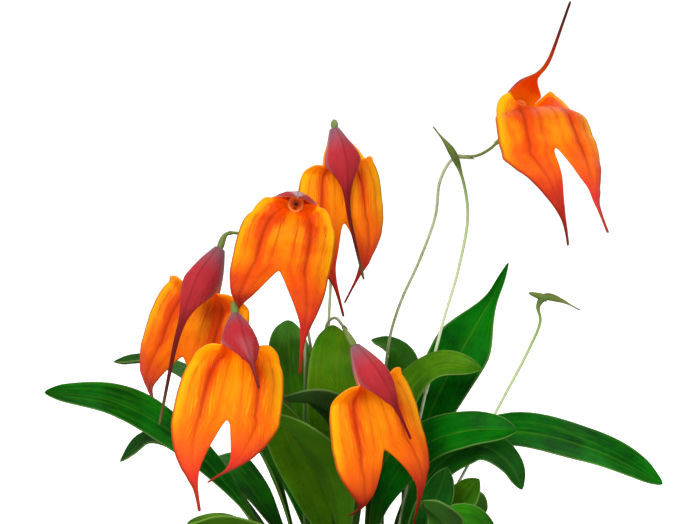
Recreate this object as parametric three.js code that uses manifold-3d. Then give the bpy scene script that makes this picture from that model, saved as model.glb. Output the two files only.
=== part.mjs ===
// A masdevallia orchid in a plain clay pot: a tuft of leathery, spoon-shaped leaves, six orange
// blooms on thin scapes that arch out of the tuft, and two scapes that each carry a bud.
// Every leaf, scape and sepal group, the pot and the bark in it is one closed body in its own mesh.
// Millimetres, +Z up. The origin is the middle of the pot's flat underside.

import * as THREE from "three";
import { mergeVertices } from "three/addons/utils/BufferGeometryUtils.js";
import Module from "manifold-3d";

const wasm = await Module();
wasm.setup();

// ---------------------------------------------------------------- driving dimensions

const GAP = 0.3; // air between two pieces that touch

const POT = {
  height: 105,
  footRadius: 43,
  rimRadius: 60,
  wall: 5,
  floor: 8,
  band: 22, // height of the thicker collar under the rim
  bandStep: 3, // how far the collar stands out
  edge: 1, // width of its broken edges
  drains: 4,
  drainRadius: 5,
  drainCircle: 24,
  drainSides: 12,
  sides: 32,
};

const BARK = {
  level: 90, // top of the packed bed, between the chips that lie on it
  chips: 24,
  chip: [17, 11, 7],
  chipSizes: [0.75, 1.2], // the smallest and the largest, as a share of that
  chipTilt: 0.35, // radians
  chipTurn: 2.4, // radians from one chip to the next, the golden angle, which spreads them evenly
  chipEdge: 6, // between the outermost chip's middle and the pot
  headroom: 20, // above the bed, which every chip stays below
  seed: 7,
};

// The plain holes in the bark that the stalks and scapes stand in.
const HOLE = { leaf: 3.3, scape: 1.6, sides: 6, spare: 0.5 };

const STALK = {
  depth: 8, // how far a leaf stalk or a scape reaches into the bark
  collar: 16, // length of its first, straight stretch
  lean: 0.55, // share of the first bend's direction that this stretch already has
};

const LEAF = {
  ribThickness: 1.9,
  marginThickness: 0.8,
  stalkFold: 38, // degrees that each half rises from the midrib
  bladeFold: 14,
  unfold: [0.2, 0.55], // shares of the length between which the stalk opens into the blade
  turn: [0.15, 0.5], // and between which it turns to its own face
  inward: 0.5, // how much a leaf without its own face looks in to the middle, against up
};

// Half of a leaf's width, as a share of its widest, against the share of its length.
const LEAF_OUTLINE = [
  [0, 0.19],
  [0.26, 0.17],
  [0.4, 0.36],
  [0.55, 0.76],
  [0.72, 1],
  [0.86, 0.88],
  [0.95, 0.55],
  [1, 0.1],
];
const NARROWED = [0.74, 0.92]; // shares of the length between which a leaf with a drawn-out tip narrows
const LEAF_ROWS = [0.22, 0.34, 0.45, 0.56, 0.67, 0.78, 0.88, 0.95, 1];
const LEAF_STATIONS = [-1, -0.5, 0, 0.5, 1];

const SCAPE = {
  radius: 0.7,
  sides: 6,
  step: 14, // the longest stretch without a ring of corners
  ovary: 8, // length of the ovary in line with the tube
  intoThroat: 1,
};
// Radius against the distance from the scape's top, or from the middle of the bract.
const OVARY_PROFILE = [
  [0, 0.9],
  [2.5, 1.5],
  [6, 1.35],
  [10, 0.7],
];
const BRACT_PROFILE = [
  [-3, 0.9],
  [0, 1.6],
  [5, 0.95],
];
const BUD_PROFILE = [
  [0, 0.35],
  [5, 0.45],
  [9, 1],
  [14, 1.75],
  [19, 1.6],
  [23, 1],
  [26, 0.7],
];

// Where the three sepals stand edge to edge.
const TUBE = { length: 18, throat: 2, mouth: 7.6, flare: 1.4 };
// How much lower and how much flatter across a fully pressed mouth is than a round one, and where from.
const PRESSED = { lower: 0.4, flatter: 0.7, from: 5 };
const SEPAL_THICKNESS = 0.7;
const SEPAL_LENGTH = 102; // that every sepal's middle line is worked out for

// Each pair is the distance from the throat where a change starts and where it is complete.
const LATERAL = {
  droop: [8, 34],
  curl: [42, 84],
  archRadius: 70, // of the blade across, the other way round than the tube
  lobeHeight: 2.2, // that each lobe swells up along its middle
  swell: [18, 32],
  flatten: [56, 78],
};
const DORSAL = {
  hood: [10, 31],
  tail: [31, 55],
  narrow: [18, 34],
  tailRadius: 5, // of the narrow part across
};

// One lateral sepal laid flat: [across, along] at its outer and its inner edge, from throat to tail.
// The two are one blade down to the notch.
const LATERAL_OUTLINE = [
  { outer: [3.2, 0], inner: [0, 0] },
  { outer: [7.7, 6], inner: [0, 6] },
  { outer: [11, 12], inner: [0, 12] },
  { outer: [13, 17.5], inner: [0, 18] },
  { outer: [15.6, 16.8], inner: [0, 22.5] },
  { outer: [18.6, 18.4], inner: [0, 27.5] },
  { outer: [21, 24], inner: [0, 33.5] },
  { outer: [22.3, 33], inner: [0, 40] },
  { outer: [22.6, 43], inner: [0, 46] },
  { outer: [22, 53], inner: [4.8, 53] },
  { outer: [19.8, 62], inner: [9, 61] },
  { outer: [17, 70], inner: [11.8, 68] },
  { outer: [15, 77], inner: [13, 76] },
  { outer: [14.3, 85], inner: [13.4, 85] },
  { outer: [14.2, 94], inner: [13.5, 94] },
];
const NOTCH_ROW = 8;
const UNROLL_ROWS = [2.8, 5.2]; // rows of that outline between which the blade unrolls from the tube

// The dorsal sepal laid flat: half width against the distance from the throat.
const DORSAL_OUTLINE = [
  [0, 2.5],
  [6, 5.9],
  [12, 8.7],
  [18, 10.3],
  [22, 8.4],
  [26, 5.6],
  [31, 2.9],
  [37, 1.4],
  [47, 0.8],
  [57, 0.55],
  [68, 0.42],
  [78, 0.35],
];

// Each knot: the distance ahead of the throat, the distance above its middle line, the radius.
const COLUMN = {
  knots: [
    [1.6, 0, 1.2],
    [5, 0.8, 1.7],
    [9, 1.2, 2.1],
    [13.5, 0.6, 2.2],
  ],
  lipKnots: [
    [2.2, -0.2, 0.8],
    [6, -1.7, 0.9],
    [10, -2.8, 1.1],
    [14, -3, 0.8],
  ],
  sides: 6,
};

// ---------------------------------------------------------------- where each piece grows

// root: where the stalk leaves the bark. path: points on the midrib, up to the tip. width: the widest.
// face: where the blade's upper side looks, if it isn't turned in and up as most are. drawn: how much
// of its width a drawn-out tip loses.
const LEAVES = [
  {
    root: [-24, -6],
    path: [[-49, -1, 139], [-75, -2, 169], [-106, -11, 190], [-136, -18, 196]],
    width: 18, face: [0.1, -0.7, 0.7],
  },
  {
    root: [16, 7],
    path: [[24, 10, 133], [40, 11, 157], [72, 6, 172], [109, 0, 166], [142, -6, 151]],
    width: 22, face: [0.1, -0.6, 0.8],
  },
  {
    root: [9, -5],
    path: [[14, -4, 141], [31, -6, 167], [53, -16, 178], [74, -24, 180]],
    width: 20, face: [0.1, -0.8, 0.6],
  },
  {
    root: [23, -6],
    path: [[27, -6, 138], [43, -8, 163], [59, -12, 170], [71, -17, 163], [77, -20, 152]],
    width: 16, face: [0.3, -0.8, 0.5],
  },
  {
    root: [23, 17],
    path: [[31, 19, 160], [44, 20, 193], [57, 20, 217], [67, 20, 235], [73, 20, 249]],
    width: 27, face: [-0.2, -1, 0.2], drawn: 0.75,
  },
  {
    root: [7, 3],
    path: [[13, 6, 152], [25, 3, 188], [40, -4, 205], [59, -10, 205]],
    width: 18, face: [-0.4, -0.6, 0.6],
  },
  { root: [9, 20], path: [[15, 29, 147], [26, 37, 183], [22, 41, 203], [10, 41, 209]], width: 18 },
  {
    root: [-3, 2],
    path: [[-5, -1, 132], [-7, -2, 174], [-8, 2, 208], [-8, 13, 221]],
    width: 24, face: [0, -1, 0.2],
  },
  {
    root: [-12, 6],
    path: [[-15, 6, 131], [-23, 9, 168], [-28, 14, 206], [-29, 32, 220]],
    width: 22, face: [0.1, -1, 0.2],
  },
  { root: [2, -12], path: [[1, -14, 141], [0, -20, 179], [-13, -30, 194], [-29, -38, 198]], width: 21 },
  { root: [-5, -15], path: [[-3, -15, 128], [-9, -25, 162], [-23, -36, 182], [-38, -40, 191]], width: 21 },
  {
    root: [-11, -8],
    path: [[-9, -8, 118], [-17, -10, 147], [-29, -14, 176], [-39, -16, 194]],
    width: 20, face: [0, -1, 0.3],
  },
  {
    root: [-14, -16],
    path: [[-16, -20, 110], [-29, -32, 130], [-50, -46, 144], [-70, -56, 146]],
    width: 23,
  },
  { root: [-23, 3], path: [[-40, 6, 127], [-69, 10, 156], [-92, 10, 168], [-106, 8, 158]], width: 14 },
  { root: [-20, 11], path: [[-41, 18, 161], [-75, 30, 192], [-94, 36, 200], [-112, 38, 199]], width: 16 },
  { root: [13, -21], path: [[26, -28, 107], [40, -43, 130], [41, -53, 146], [31, -61, 158]], width: 16 },
  {
    root: [20, -14],
    path: [[24, -20, 104], [37, -29, 126], [51, -35, 140], [64, -39, 131]],
    width: 20, face: [0.2, -0.8, 0.5],
  },
  {
    root: [15, -12],
    path: [[20, -15, 107], [32, -20, 132], [39, -24, 151], [43, -27, 164]],
    width: 16, face: [0, -1, 0.2],
  },
  {
    root: [28, -10],
    path: [[29, -10, 107], [41, -14, 133], [51, -16, 147], [58, -16, 156]],
    width: 17, face: [-0.4, -0.8, 0.4],
  },
  { root: [-13, 18], path: [[-24, 34, 130], [-34, 58, 160], [-40, 88, 170]], width: 22 },
  { root: [-4, 21], path: [[-8, 38, 132], [-12, 66, 165], [-14, 100, 178]], width: 23 },
  { root: [4, 25], path: [[12, 42, 134], [18, 72, 166], [24, 104, 172]], width: 22 },
  { root: [16, 22], path: [[30, 36, 132], [46, 58, 158], [58, 84, 160]], width: 21 },
  { root: [26, 6], path: [[38, 20, 122], [52, 34, 132], [64, 50, 120]], width: 19 },
  { root: [-21, 19], path: [[-38, 28, 126], [-58, 42, 148], [-74, 58, 146]], width: 21 },
  { root: [-10, 27], path: [[-18, 48, 122], [-22, 76, 140], [-24, 102, 132]], width: 20 },
  { root: [-3, -25], path: [[-6, -42, 116], [-12, -62, 132], [-18, -80, 122]], width: 20 },
  { root: [10, -28], path: [[18, -42, 114], [30, -58, 124], [42, -72, 114]], width: 19 },
  { root: [-24, -16], path: [[-42, -28, 112], [-62, -42, 120], [-80, -52, 108]], width: 20 },
];

// base: the middle of the throat. aim: where the mouth looks. crown: the side of the dorsal sepal.
// Angles in degrees. droop: how far the lateral blade turns down from the mouth. sway: how far it
// leans to its own right on the way to the notch. Of its two lobes, right one first, splay: how far
// each leans out, and curl: how far each turns further down and back. hood: how far the dorsal sepal
// leans in over the mouth. tail: how far its tail turns up again. lean: how far it leans to the
// bloom's right. press: how far the mouth is pressed flat, from 0, round, to 1. ovary: where the ovary
// bends off, if it isn't in line with the tube. thread: how much of the dorsal sepal's tail is there, if
// not all of it. mouth: how much wider and how much lower the column's end is than in the others.
const BLOOMS = [
  {
    base: [73, 8, 311], aim: [0.26, -0.48, 0.84], crown: [-0.39, 0.74, 0.55], droop: 107,
    sway: 8, splay: [-31, -16], curl: [81, -18], hood: 44, tail: 39, lean: 6, size: 1.07, press: 0.4,
    ovary: [-4.5, 4, -4],
  },
  {
    base: [-7, -2, 312], aim: [0.25, -0.31, -0.92], crown: [0.32, -0.87, 0.38], droop: 13,
    sway: 8, splay: [-13, -13], curl: [25, 48], hood: 31, tail: 35, lean: 3, size: 0.91, press: 1,
    ovary: [0, 6.5, 2.5],
  },
  {
    base: [-23, -23, 280], aim: [-0.01, -0.97, 0.23], crown: [0.2, 0.23, 0.95], droop: 102,
    sway: 2, splay: [5, 5], curl: [73, 15], hood: 20, tail: 60, lean: -5, size: 0.94, press: 1.1,
    thread: 0.15, mouth: [1.6, 1.4],
  },
  {
    base: [-58, -9, 259], aim: [-0.41, -0.4, -0.82], crown: [-0.21, -0.84, 0.51], droop: 31,
    sway: 5, splay: [6, 4], curl: [52, 0], hood: 6, tail: -18, lean: -6, size: 1.1, press: 0,
  },
  {
    base: [-49, -46, 235], aim: [0.14, -0.8, -0.58], crown: [0.19, -0.56, 0.81], droop: 23,
    sway: 11, splay: [2, -30], curl: [-41, -65], hood: 10, tail: -10, lean: -10, size: 1.02, press: 0,
    thread: 0.3,
  },
  {
    base: [2, -36, 220], aim: [0.49, -0.38, -0.79], crown: [0.29, -0.78, 0.55], droop: 15,
    sway: 12, splay: [-2, -3], curl: [83, 52], hood: 22, tail: 0, lean: -5, size: 0.99, press: 0,
    thread: 0.4,
  },
];

// path: points on the scape between its first straight stretch and its ovary, or its bud's tip.
const SCAPES = [
  {
    root: [15, 13],
    path: [
      [16, 20, 184], [18, 22, 211], [23, 22, 229], [32, 20, 250], [39, 16, 271], [41, 12, 288],
      [47, 10, 298], [57, 10, 299], [63, 10, 302],
    ],
    bract: 28,
  },
  {
    root: [-3, 14],
    path: [[-9, 30, 180], [-10, 33, 215], [-9, 30, 240], [-9, 20, 271], [-8, 8, 303]],
    bract: 30,
  },
  { root: [-15, 12], path: [[-16, 22, 180], [-19, 25, 213], [-26, 18, 241], [-29, 4, 262]], bract: 30 },
  { root: [-20, 0], path: [[-21, -4, 160], [-20.5, 1, 213], [-23, 0, 245], [-41, -3, 262]], bract: 26 },
  { root: [-19, -12], path: [[-18, -5, 158], [-25, -8, 182], [-37, -24, 207], [-46, -33, 222]], bract: 26 },
  {
    root: [-8, 10],
    path: [[-12, 20, 176], [-12, 22, 202], [-11, 20, 219], [-7, 6, 225.5], [-3, -14, 225]],
    bract: 16,
  },
];
const BUD_SCAPES = [
  {
    root: [17, 1],
    path: [[32, 5, 179], [42, 4, 223], [49, 4, 248], [53, 4, 275], [47, 2, 299], [37, 0, 313]],
  },
  {
    root: [25, 0],
    path: [
      [41, -1, 133], [56, -4, 164], [69, -2, 189], [81, 0, 212], [86, 0, 225], [85, 0, 232], [88, 0, 236],
      [95, 0, 234.5], [104, 0, 230],
    ],
  },
];

// ---------------------------------------------------------------- finishes

const finish = (color, roughness) => new THREE.MeshStandardMaterial({ color, roughness, metalness: 0 });
const CLAY = finish("#a95a38", 0.85);
const BARK_BROWN = finish("#4a3323", 0.95);
const LEAF_GREEN = finish("#1d6a14", 0.35);
const SCAPE_GREEN = finish("#8b9a4e", 0.5);
const BUD_GREEN = finish("#5d6a2c", 0.5);
const SEPAL_ORANGE = finish("#f57c10", 0.45);
const SEPAL_PINK = finish("#b73245", 0.5);
const COLUMN_CREAM = finish("#f0d6cf", 0.5);

// ---------------------------------------------------------------- curves and values

const vector = (p) => new THREE.Vector3(...p);
const along = (point, direction, distance) => point.clone().addScaledVector(direction, distance);
const radians = THREE.MathUtils.degToRad;
const { smoothstep, lerp, clamp } = THREE.MathUtils;

// The value at x of a smooth line through [x, value] knots.
function smoothValue(knots, x) {
  const last = knots.length - 1;
  if (x <= knots[0][0]) return knots[0][1];
  if (x >= knots[last][0]) return knots[last][1];
  const k = knots.findIndex(([at]) => at > x) - 1;
  const slope = (i) => {
    const [x0, y0] = knots[Math.max(i - 1, 0)];
    const [x1, y1] = knots[Math.min(i + 1, last)];
    return (y1 - y0) / (x1 - x0);
  };
  const [xa, ya] = knots[k];
  const [xb, yb] = knots[k + 1];
  const w = xb - xa;
  const t = (x - xa) / w;
  const t2 = t * t;
  const t3 = t2 * t;
  const values = (2 * t3 - 3 * t2 + 1) * ya + (3 * t2 - 2 * t3) * yb;
  return values + ((t3 - 2 * t2 + t) * slope(k) + (t3 - t2) * slope(k + 1)) * w;
}

// The straight first stretch of a stalk: from its foot in the bark to its collar above it.
function stalkStart(root, path) {
  const rise = vector(path[0]).sub(new THREE.Vector3(root[0], root[1], BARK.level)).normalize();
  const direction = new THREE.Vector3(0, 0, 1).lerp(rise, STALK.lean).normalize();
  const foot = along(new THREE.Vector3(root[0], root[1], BARK.level), direction, -STALK.depth);
  return { foot, direction, collar: along(foot, direction, STALK.collar) };
}

const smoothCurve = (points) => new THREE.CatmullRomCurve3(points, false, "centripetal");

// ---------------------------------------------------------------- closed bodies

// Turns a body whose faces point in the right way round.
function facingOut(positions, index) {
  let volume = 0;
  const [a, b, c] = [new THREE.Vector3(), new THREE.Vector3(), new THREE.Vector3()];
  for (let i = 0; i < index.length; i += 3) {
    a.fromArray(positions, 3 * index[i]);
    b.fromArray(positions, 3 * index[i + 1]);
    c.fromArray(positions, 3 * index[i + 2]);
    volume += a.dot(b.cross(c));
  }
  if (volume < 0) index.reverse();
  const geometry = new THREE.BufferGeometry();
  geometry.setAttribute("position", new THREE.Float32BufferAttribute(positions, 3));
  geometry.setIndex(index);
  return geometry;
}

// A sheet of triangles given a thickness: above and below are its two faces' distances from it.
function thickSheet(points, triangles, above, below) {
  const normals = points.map(() => new THREE.Vector3());
  const edges = new Map();
  for (const triangle of triangles) {
    const [a, b, c] = triangle.map((i) => points[i]);
    const normal = b.clone().sub(a).cross(c.clone().sub(a));
    triangle.forEach((i, k) => {
      normals[i].add(normal);
      edges.set(`${i} ${triangle[(k + 1) % 3]}`, [i, triangle[(k + 1) % 3]]);
    });
  }
  const positions = [];
  const face = (distance) => {
    points.forEach((p, i) => positions.push(...along(p, normals[i].normalize(), distance(i))));
  };
  face(above);
  face((i) => -below(i));
  const n = points.length;
  const index = [];
  for (const [a, b, c] of triangles) index.push(a, b, c, n + a, n + c, n + b);
  for (const [a, b] of edges.values()) {
    if (!edges.has(`${b} ${a}`)) index.push(a, n + a, b, b, n + a, n + b);
  }
  return facingOut(positions, index);
}

// A tube along points with its own radius at each, closed at both ends.
function taperedTube(points, radii, sides) {
  const positions = [];
  const index = [];
  let side = new THREE.Vector3(1, 0, 0);
  points.forEach((point, row) => {
    const before = points[Math.max(row - 1, 0)];
    const after = points[Math.min(row + 1, points.length - 1)];
    const tangent = after.clone().sub(before).normalize();
    side = along(side, tangent, -side.dot(tangent)).normalize();
    const other = tangent.clone().cross(side);
    for (let k = 0; k < sides; k += 1) {
      const angle = (2 * Math.PI * k) / sides;
      const rim = along(point, side, radii[row] * Math.cos(angle));
      positions.push(...along(rim, other, radii[row] * Math.sin(angle)));
      if (row === 0) continue;
      const here = row * sides + k;
      const next = row * sides + ((k + 1) % sides);
      index.push(here - sides, next - sides, next, here - sides, next, here);
    }
  });
  const top = (points.length - 1) * sides;
  for (let k = 1; k < sides - 1; k += 1) index.push(0, k + 1, k, top, top + k, top + k + 1);
  return facingOut(positions, index);
}

function solidOf(geometry) {
  const bare = new THREE.BufferGeometry();
  bare.setAttribute("position", geometry.getAttribute("position"));
  bare.setIndex(geometry.index);
  const merged = mergeVertices(bare, 1e-4);
  const vertProperties = merged.attributes.position.array;
  const triVerts = new Uint32Array(merged.index.array);
  return new wasm.Manifold(new wasm.Mesh({ numProp: 3, vertProperties, triVerts }));
}

function geometryOf(solid) {
  const { vertProperties, triVerts } = solid.getMesh();
  const geometry = new THREE.BufferGeometry();
  geometry.setAttribute("position", new THREE.BufferAttribute(vertProperties, 3));
  geometry.setIndex(new THREE.BufferAttribute(triVerts, 1));
  return geometry;
}

// ---------------------------------------------------------------- leaves

function leafGeometry({ root, path, width, face, drawn = 0 }) {
  const { foot, direction, collar } = stalkStart(root, path);
  const curve = smoothCurve([foot, collar, ...path.map(vector)]);
  const length = curve.getLength();
  const shares = [0, STALK.collar / length, ...LEAF_ROWS];
  const spots = shares.map((share) => curve.getPointAt(share));
  spots[0] = foot;
  spots[1] = collar;
  const inward = new THREE.Vector3(-root[0], -root[1], 0).normalize().multiplyScalar(LEAF.inward);
  const usual = inward.add(new THREE.Vector3(0, 0, 1));
  const turned = face ? vector(face) : usual;
  const points = [];
  spots.forEach((spot, row) => {
    const after = spots[Math.min(row + 1, spots.length - 1)];
    const tangent = row === 0 ? direction : after.clone().sub(spots[row - 1]).normalize();
    const looks = usual.clone().lerp(turned, smoothstep(shares[row], ...LEAF.turn));
    const normal = along(looks, tangent, -looks.dot(tangent)).normalize();
    const side = tangent.clone().cross(normal);
    const kept = 1 - drawn * smoothstep(shares[row], ...NARROWED);
    const half = (width / 2) * smoothValue(LEAF_OUTLINE, shares[row]) * kept;
    const fold = radians(lerp(LEAF.stalkFold, LEAF.bladeFold, smoothstep(shares[row], ...LEAF.unfold)));
    for (const q of LEAF_STATIONS) {
      const beside = along(spot, side, q * half * Math.cos(fold));
      points.push(along(beside, normal, Math.abs(q) * half * Math.sin(fold)));
    }
  });
  const across = LEAF_STATIONS.length;
  const triangles = [];
  for (let row = 0; row < spots.length - 1; row += 1) {
    for (let k = 0; k < across - 1; k += 1) {
      const a = row * across + k;
      const b = a + across;
      if (k < 2) triangles.push([a, a + 1, b + 1], [a, b + 1, b]);
      else triangles.push([a, a + 1, b], [a + 1, b + 1, b]);
    }
  }
  const above = () => LEAF.marginThickness / 2;
  const outward = (i) => Math.abs(LEAF_STATIONS[i % across]);
  const below = (i) => lerp(LEAF.ribThickness, LEAF.marginThickness, outward(i)) - above();
  return thickSheet(points, triangles, above, below);
}

// ---------------------------------------------------------------- blooms

const tubeRadius = (v) => lerp(TUBE.throat, TUBE.mouth, 1 - (1 - Math.min(v / TUBE.length, 1)) ** TUBE.flare);
const pressedShare = (bloom, v) => (bloom.press ?? 0) * smoothstep(v, PRESSED.from, TUBE.length);
const tubeHeight = (bloom, v) => tubeRadius(v) * (1 - PRESSED.lower * pressedShare(bloom, v));
const tubeBend = (bloom, v) => 1 / (tubeRadius(v) * (1 + PRESSED.flatter * pressedShare(bloom, v)));

// A bloom's own axes: forward out of the mouth, up to the dorsal sepal, and its right.
function bloomAxes({ aim, crown }) {
  const forward = vector(aim).normalize();
  const right = forward.clone().cross(vector(crown)).normalize();
  return { forward, right, up: right.clone().cross(forward) };
}

// The line down the middle of a sepal, on one side of the tube: out is that side's direction, and turn
// gives how far the sepal has bent towards it at a distance v from the throat.
function sepalSpine(bloom, out, turn) {
  const { forward, right } = bloomAxes(bloom);
  const step = 0.5;
  const spots = [along(vector(bloom.base), out, TUBE.throat * bloom.size)];
  for (let v = 0; v < SEPAL_LENGTH; v += step) {
    const slope = Math.asin((tubeHeight(bloom, v + step) - tubeHeight(bloom, v)) / step);
    const angle = slope + turn(v);
    const direction = forward.clone().multiplyScalar(Math.cos(angle)).addScaledVector(out, Math.sin(angle));
    spots.push(along(spots[spots.length - 1], direction, step * bloom.size));
  }
  // The point at v along and q across, wrapped round with the curvature bend, then moved by lift
  // towards the sepal's inner side and by shift to the bloom's right.
  return (q, v, bend, lift, shift) => {
    const angle = turn(v);
    const inwards = out.clone().multiplyScalar(-Math.cos(angle)).addScaledVector(forward, Math.sin(angle));
    const straight = Math.abs(bend) < 1e-6;
    const sideways = straight ? q : Math.sin(q * bend) / bend;
    const rise = straight ? 0 : (1 - Math.cos(q * bend)) / bend;
    const spot = along(spots[Math.round(v / step)], right, (sideways + shift) * bloom.size);
    return along(spot, inwards, (rise + lift) * bloom.size);
  };
}

function lateralGeometry(bloom) {
  const { up } = bloomAxes(bloom);
  const { droop, sway, splay, curl } = bloom;
  const lobeOf = (side) => (side > 0 ? 0 : 1);
  const places = [-1, 1].map((side) => {
    const turn = (v) => {
      const curled = curl[lobeOf(side)] * smoothstep(v, ...LATERAL.curl);
      return radians(droop * smoothstep(v, ...LATERAL.droop) + curled);
    };
    return sepalSpine(bloom, up.clone().negate(), turn);
  });
  const notch = LATERAL_OUTLINE[NOTCH_ROW].inner[1];
  const stations = [0, 0.25, 0.5, 0.75, 1];
  const points = [];
  const number = new Map();
  const pointAt = (side, row, k) => {
    const shared = k === 0 && row <= NOTCH_ROW;
    const key = shared ? `${row}` : `${side} ${row} ${k}`;
    if (!number.has(key)) {
      const { outer, inner } = LATERAL_OUTLINE[row];
      const t = stations[k];
      const v = lerp(inner[1], outer[1], t);
      const midline = Math.tan(radians(sway)) * clamp(v - TUBE.length, 0, notch - TUBE.length);
      const spread = side * Math.tan(radians(splay[lobeOf(side)])) * Math.max(v - notch, 0);
      const q = side * lerp(inner[0], outer[0], t) + midline + spread;
      const bend = lerp(tubeBend(bloom, v), -1 / LATERAL.archRadius, smoothstep(row, ...UNROLL_ROWS));
      const swell = smoothstep(v, ...LATERAL.swell) * (1 - smoothstep(v, ...LATERAL.flatten));
      const lift = LATERAL.lobeHeight * (1 - (2 * t - 1) ** 2) * swell;
      number.set(key, points.length);
      points.push(places[side > 0 ? 1 : 0](q, v, bend, lift, 0));
    }
    return number.get(key);
  };
  const triangles = [];
  for (const side of [-1, 1]) {
    for (let row = 0; row < LATERAL_OUTLINE.length - 1; row += 1) {
      for (let k = 0; k < stations.length - 1; k += 1) {
        const a = pointAt(side, row, k);
        const b = pointAt(side, row, k + 1);
        const c = pointAt(side, row + 1, k + 1);
        const d = pointAt(side, row + 1, k);
        if (side > 0) triangles.push([a, b, c], [a, c, d]);
        else triangles.push([a, c, b], [a, d, c]);
      }
    }
  }
  const half = () => SEPAL_THICKNESS / 2;
  return thickSheet(points, triangles, half, half);
}

function dorsalGeometry(bloom) {
  const { up } = bloomAxes(bloom);
  const { hood, tail, lean, thread = 1 } = bloom;
  const turn = (v) => radians(tail * smoothstep(v, ...DORSAL.tail) - hood * smoothstep(v, ...DORSAL.hood));
  const place = sepalSpine(bloom, up, turn);
  const stations = [-1, -0.5, 0, 0.5, 1];
  const points = [];
  for (const [whole, half] of DORSAL_OUTLINE) {
    const v = whole - (1 - thread) * Math.max(whole - DORSAL.tail[0], 0);
    const bend = lerp(tubeBend(bloom, v), 1 / DORSAL.tailRadius, smoothstep(v, ...DORSAL.narrow));
    const sideways = Math.tan(radians(lean)) * Math.max(v - TUBE.length, 0);
    for (const q of stations) points.push(place(q * half, v, bend, 0, sideways));
  }
  const across = stations.length;
  const triangles = [];
  for (let row = 0; row < DORSAL_OUTLINE.length - 1; row += 1) {
    for (let k = 0; k < across - 1; k += 1) {
      const a = row * across + k;
      triangles.push([a, a + 1, a + across + 1], [a, a + across + 1, a + across]);
    }
  }
  const half = () => SEPAL_THICKNESS / 2;
  return thickSheet(points, triangles, half, half);
}

// The column and the small lip under it, which stand free in the tube.
function columnGeometry(bloom) {
  const { forward, up } = bloomAxes(bloom);
  const rod = (knots, [wider, lower]) => {
    const spots = knots.map(([ahead, above]) => {
      const height = above - lower * smoothstep(ahead, 5, 13.5);
      return along(along(vector(bloom.base), forward, ahead * bloom.size), up, height * bloom.size);
    });
    const radii = knots.map(([ahead, , radius]) => radius * (1 + (wider - 1) * smoothstep(ahead, 5, 13.5)));
    return solidOf(taperedTube(spots, radii, COLUMN.sides));
  };
  const column = rod(COLUMN.knots, bloom.mouth ?? [1, 0]);
  return geometryOf(column.add(rod(COLUMN.lipKnots, [1, 0])));
}

// ---------------------------------------------------------------- scapes

// The spots and radii of a scape through points, with each profile at its distance from the top.
function scapeRows(points, profiles) {
  const curve = smoothCurve(points);
  const length = curve.getLength();
  const fromTop = new Set(profiles.flatMap(([at, knots]) => knots.map(([d]) => at + d)));
  const end = Math.max(...fromTop);
  const steps = Math.ceil((length - STALK.collar - end) / SCAPE.step);
  for (let i = 1; i < steps; i += 1) fromTop.add(lerp(end, length - STALK.collar, i / steps));
  const rows = [...fromTop].filter((d) => d >= 0).sort((a, b) => b - a);
  const radiusAt = (d) => {
    for (const [at, knots] of profiles) {
      if (d >= at + knots[0][0] && d <= at + knots[knots.length - 1][0]) return smoothValue(knots, d - at);
    }
    return SCAPE.radius;
  };
  return {
    spots: [points[0], points[1], ...rows.map((d) => curve.getPointAt(1 - d / length))],
    radii: [SCAPE.radius, SCAPE.radius, ...rows.map(radiusAt)],
  };
}

function scapeGeometry(scape, bloom) {
  const { foot, collar } = stalkStart(scape.root, scape.path);
  const { forward } = bloomAxes(bloom);
  const base = vector(bloom.base);
  const ovary = bloom.ovary ? base.clone().add(vector(bloom.ovary)) : along(base, forward, -SCAPE.ovary);
  const end = bloom.ovary ? base : along(base, forward, SCAPE.intoThroat);
  const points = [foot, collar, ...scape.path.map(vector), ovary, end];
  const profiles = [
    [0, OVARY_PROFILE],
    [scape.bract, BRACT_PROFILE],
  ];
  const { spots, radii } = scapeRows(points, profiles);
  return taperedTube(spots, radii, SCAPE.sides);
}

function budScapeGeometry({ root, path }) {
  const { foot, collar } = stalkStart(root, path);
  const { spots, radii } = scapeRows([foot, collar, ...path.map(vector)], [[0, BUD_PROFILE]]);
  return taperedTube(spots, radii, SCAPE.sides);
}

// ---------------------------------------------------------------- pot and bark

const innerRadius = (z) => lerp(POT.footRadius, POT.rimRadius - POT.bandStep, z / POT.height) - POT.wall;

function lathe(profile, sides) {
  const outline = profile.map(([r, z]) => new THREE.Vector2(r, z));
  const geometry = new THREE.LatheGeometry(outline, sides);
  geometry.deleteAttribute("normal");
  geometry.deleteAttribute("uv");
  geometry.rotateX(Math.PI / 2);
  const merged = mergeVertices(geometry, 1e-4);
  return facingOut([...merged.attributes.position.array], [...merged.index.array]);
}

function potGeometry() {
  const outerRadius = (z) => innerRadius(z) + POT.wall;
  const bandFoot = POT.height - POT.band;
  const { edge } = POT;
  const shell = lathe(
    [
      [0, 0],
      [POT.footRadius - edge, 0],
      [POT.footRadius, edge],
      [outerRadius(bandFoot), bandFoot],
      [outerRadius(bandFoot) + POT.bandStep, bandFoot + edge],
      [POT.rimRadius, POT.height - edge],
      [POT.rimRadius - edge, POT.height],
      [innerRadius(POT.height) + edge, POT.height],
      [innerRadius(POT.height), POT.height - edge],
      [innerRadius(POT.floor), POT.floor],
      [0, POT.floor],
    ],
    POT.sides,
  );
  let pot = solidOf(shell);
  for (let k = 0; k < POT.drains; k += 1) {
    const angle = (2 * Math.PI * (k + 0.5)) / POT.drains;
    const drain = new THREE.CylinderGeometry(POT.drainRadius, POT.drainRadius, 3 * POT.floor, POT.drainSides);
    drain.rotateX(Math.PI / 2);
    drain.translate(POT.drainCircle * Math.cos(angle), POT.drainCircle * Math.sin(angle), POT.floor / 2);
    drain.deleteAttribute("normal");
    drain.deleteAttribute("uv");
    pot = pot.subtract(solidOf(drain));
  }
  return geometryOf(pot);
}

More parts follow.
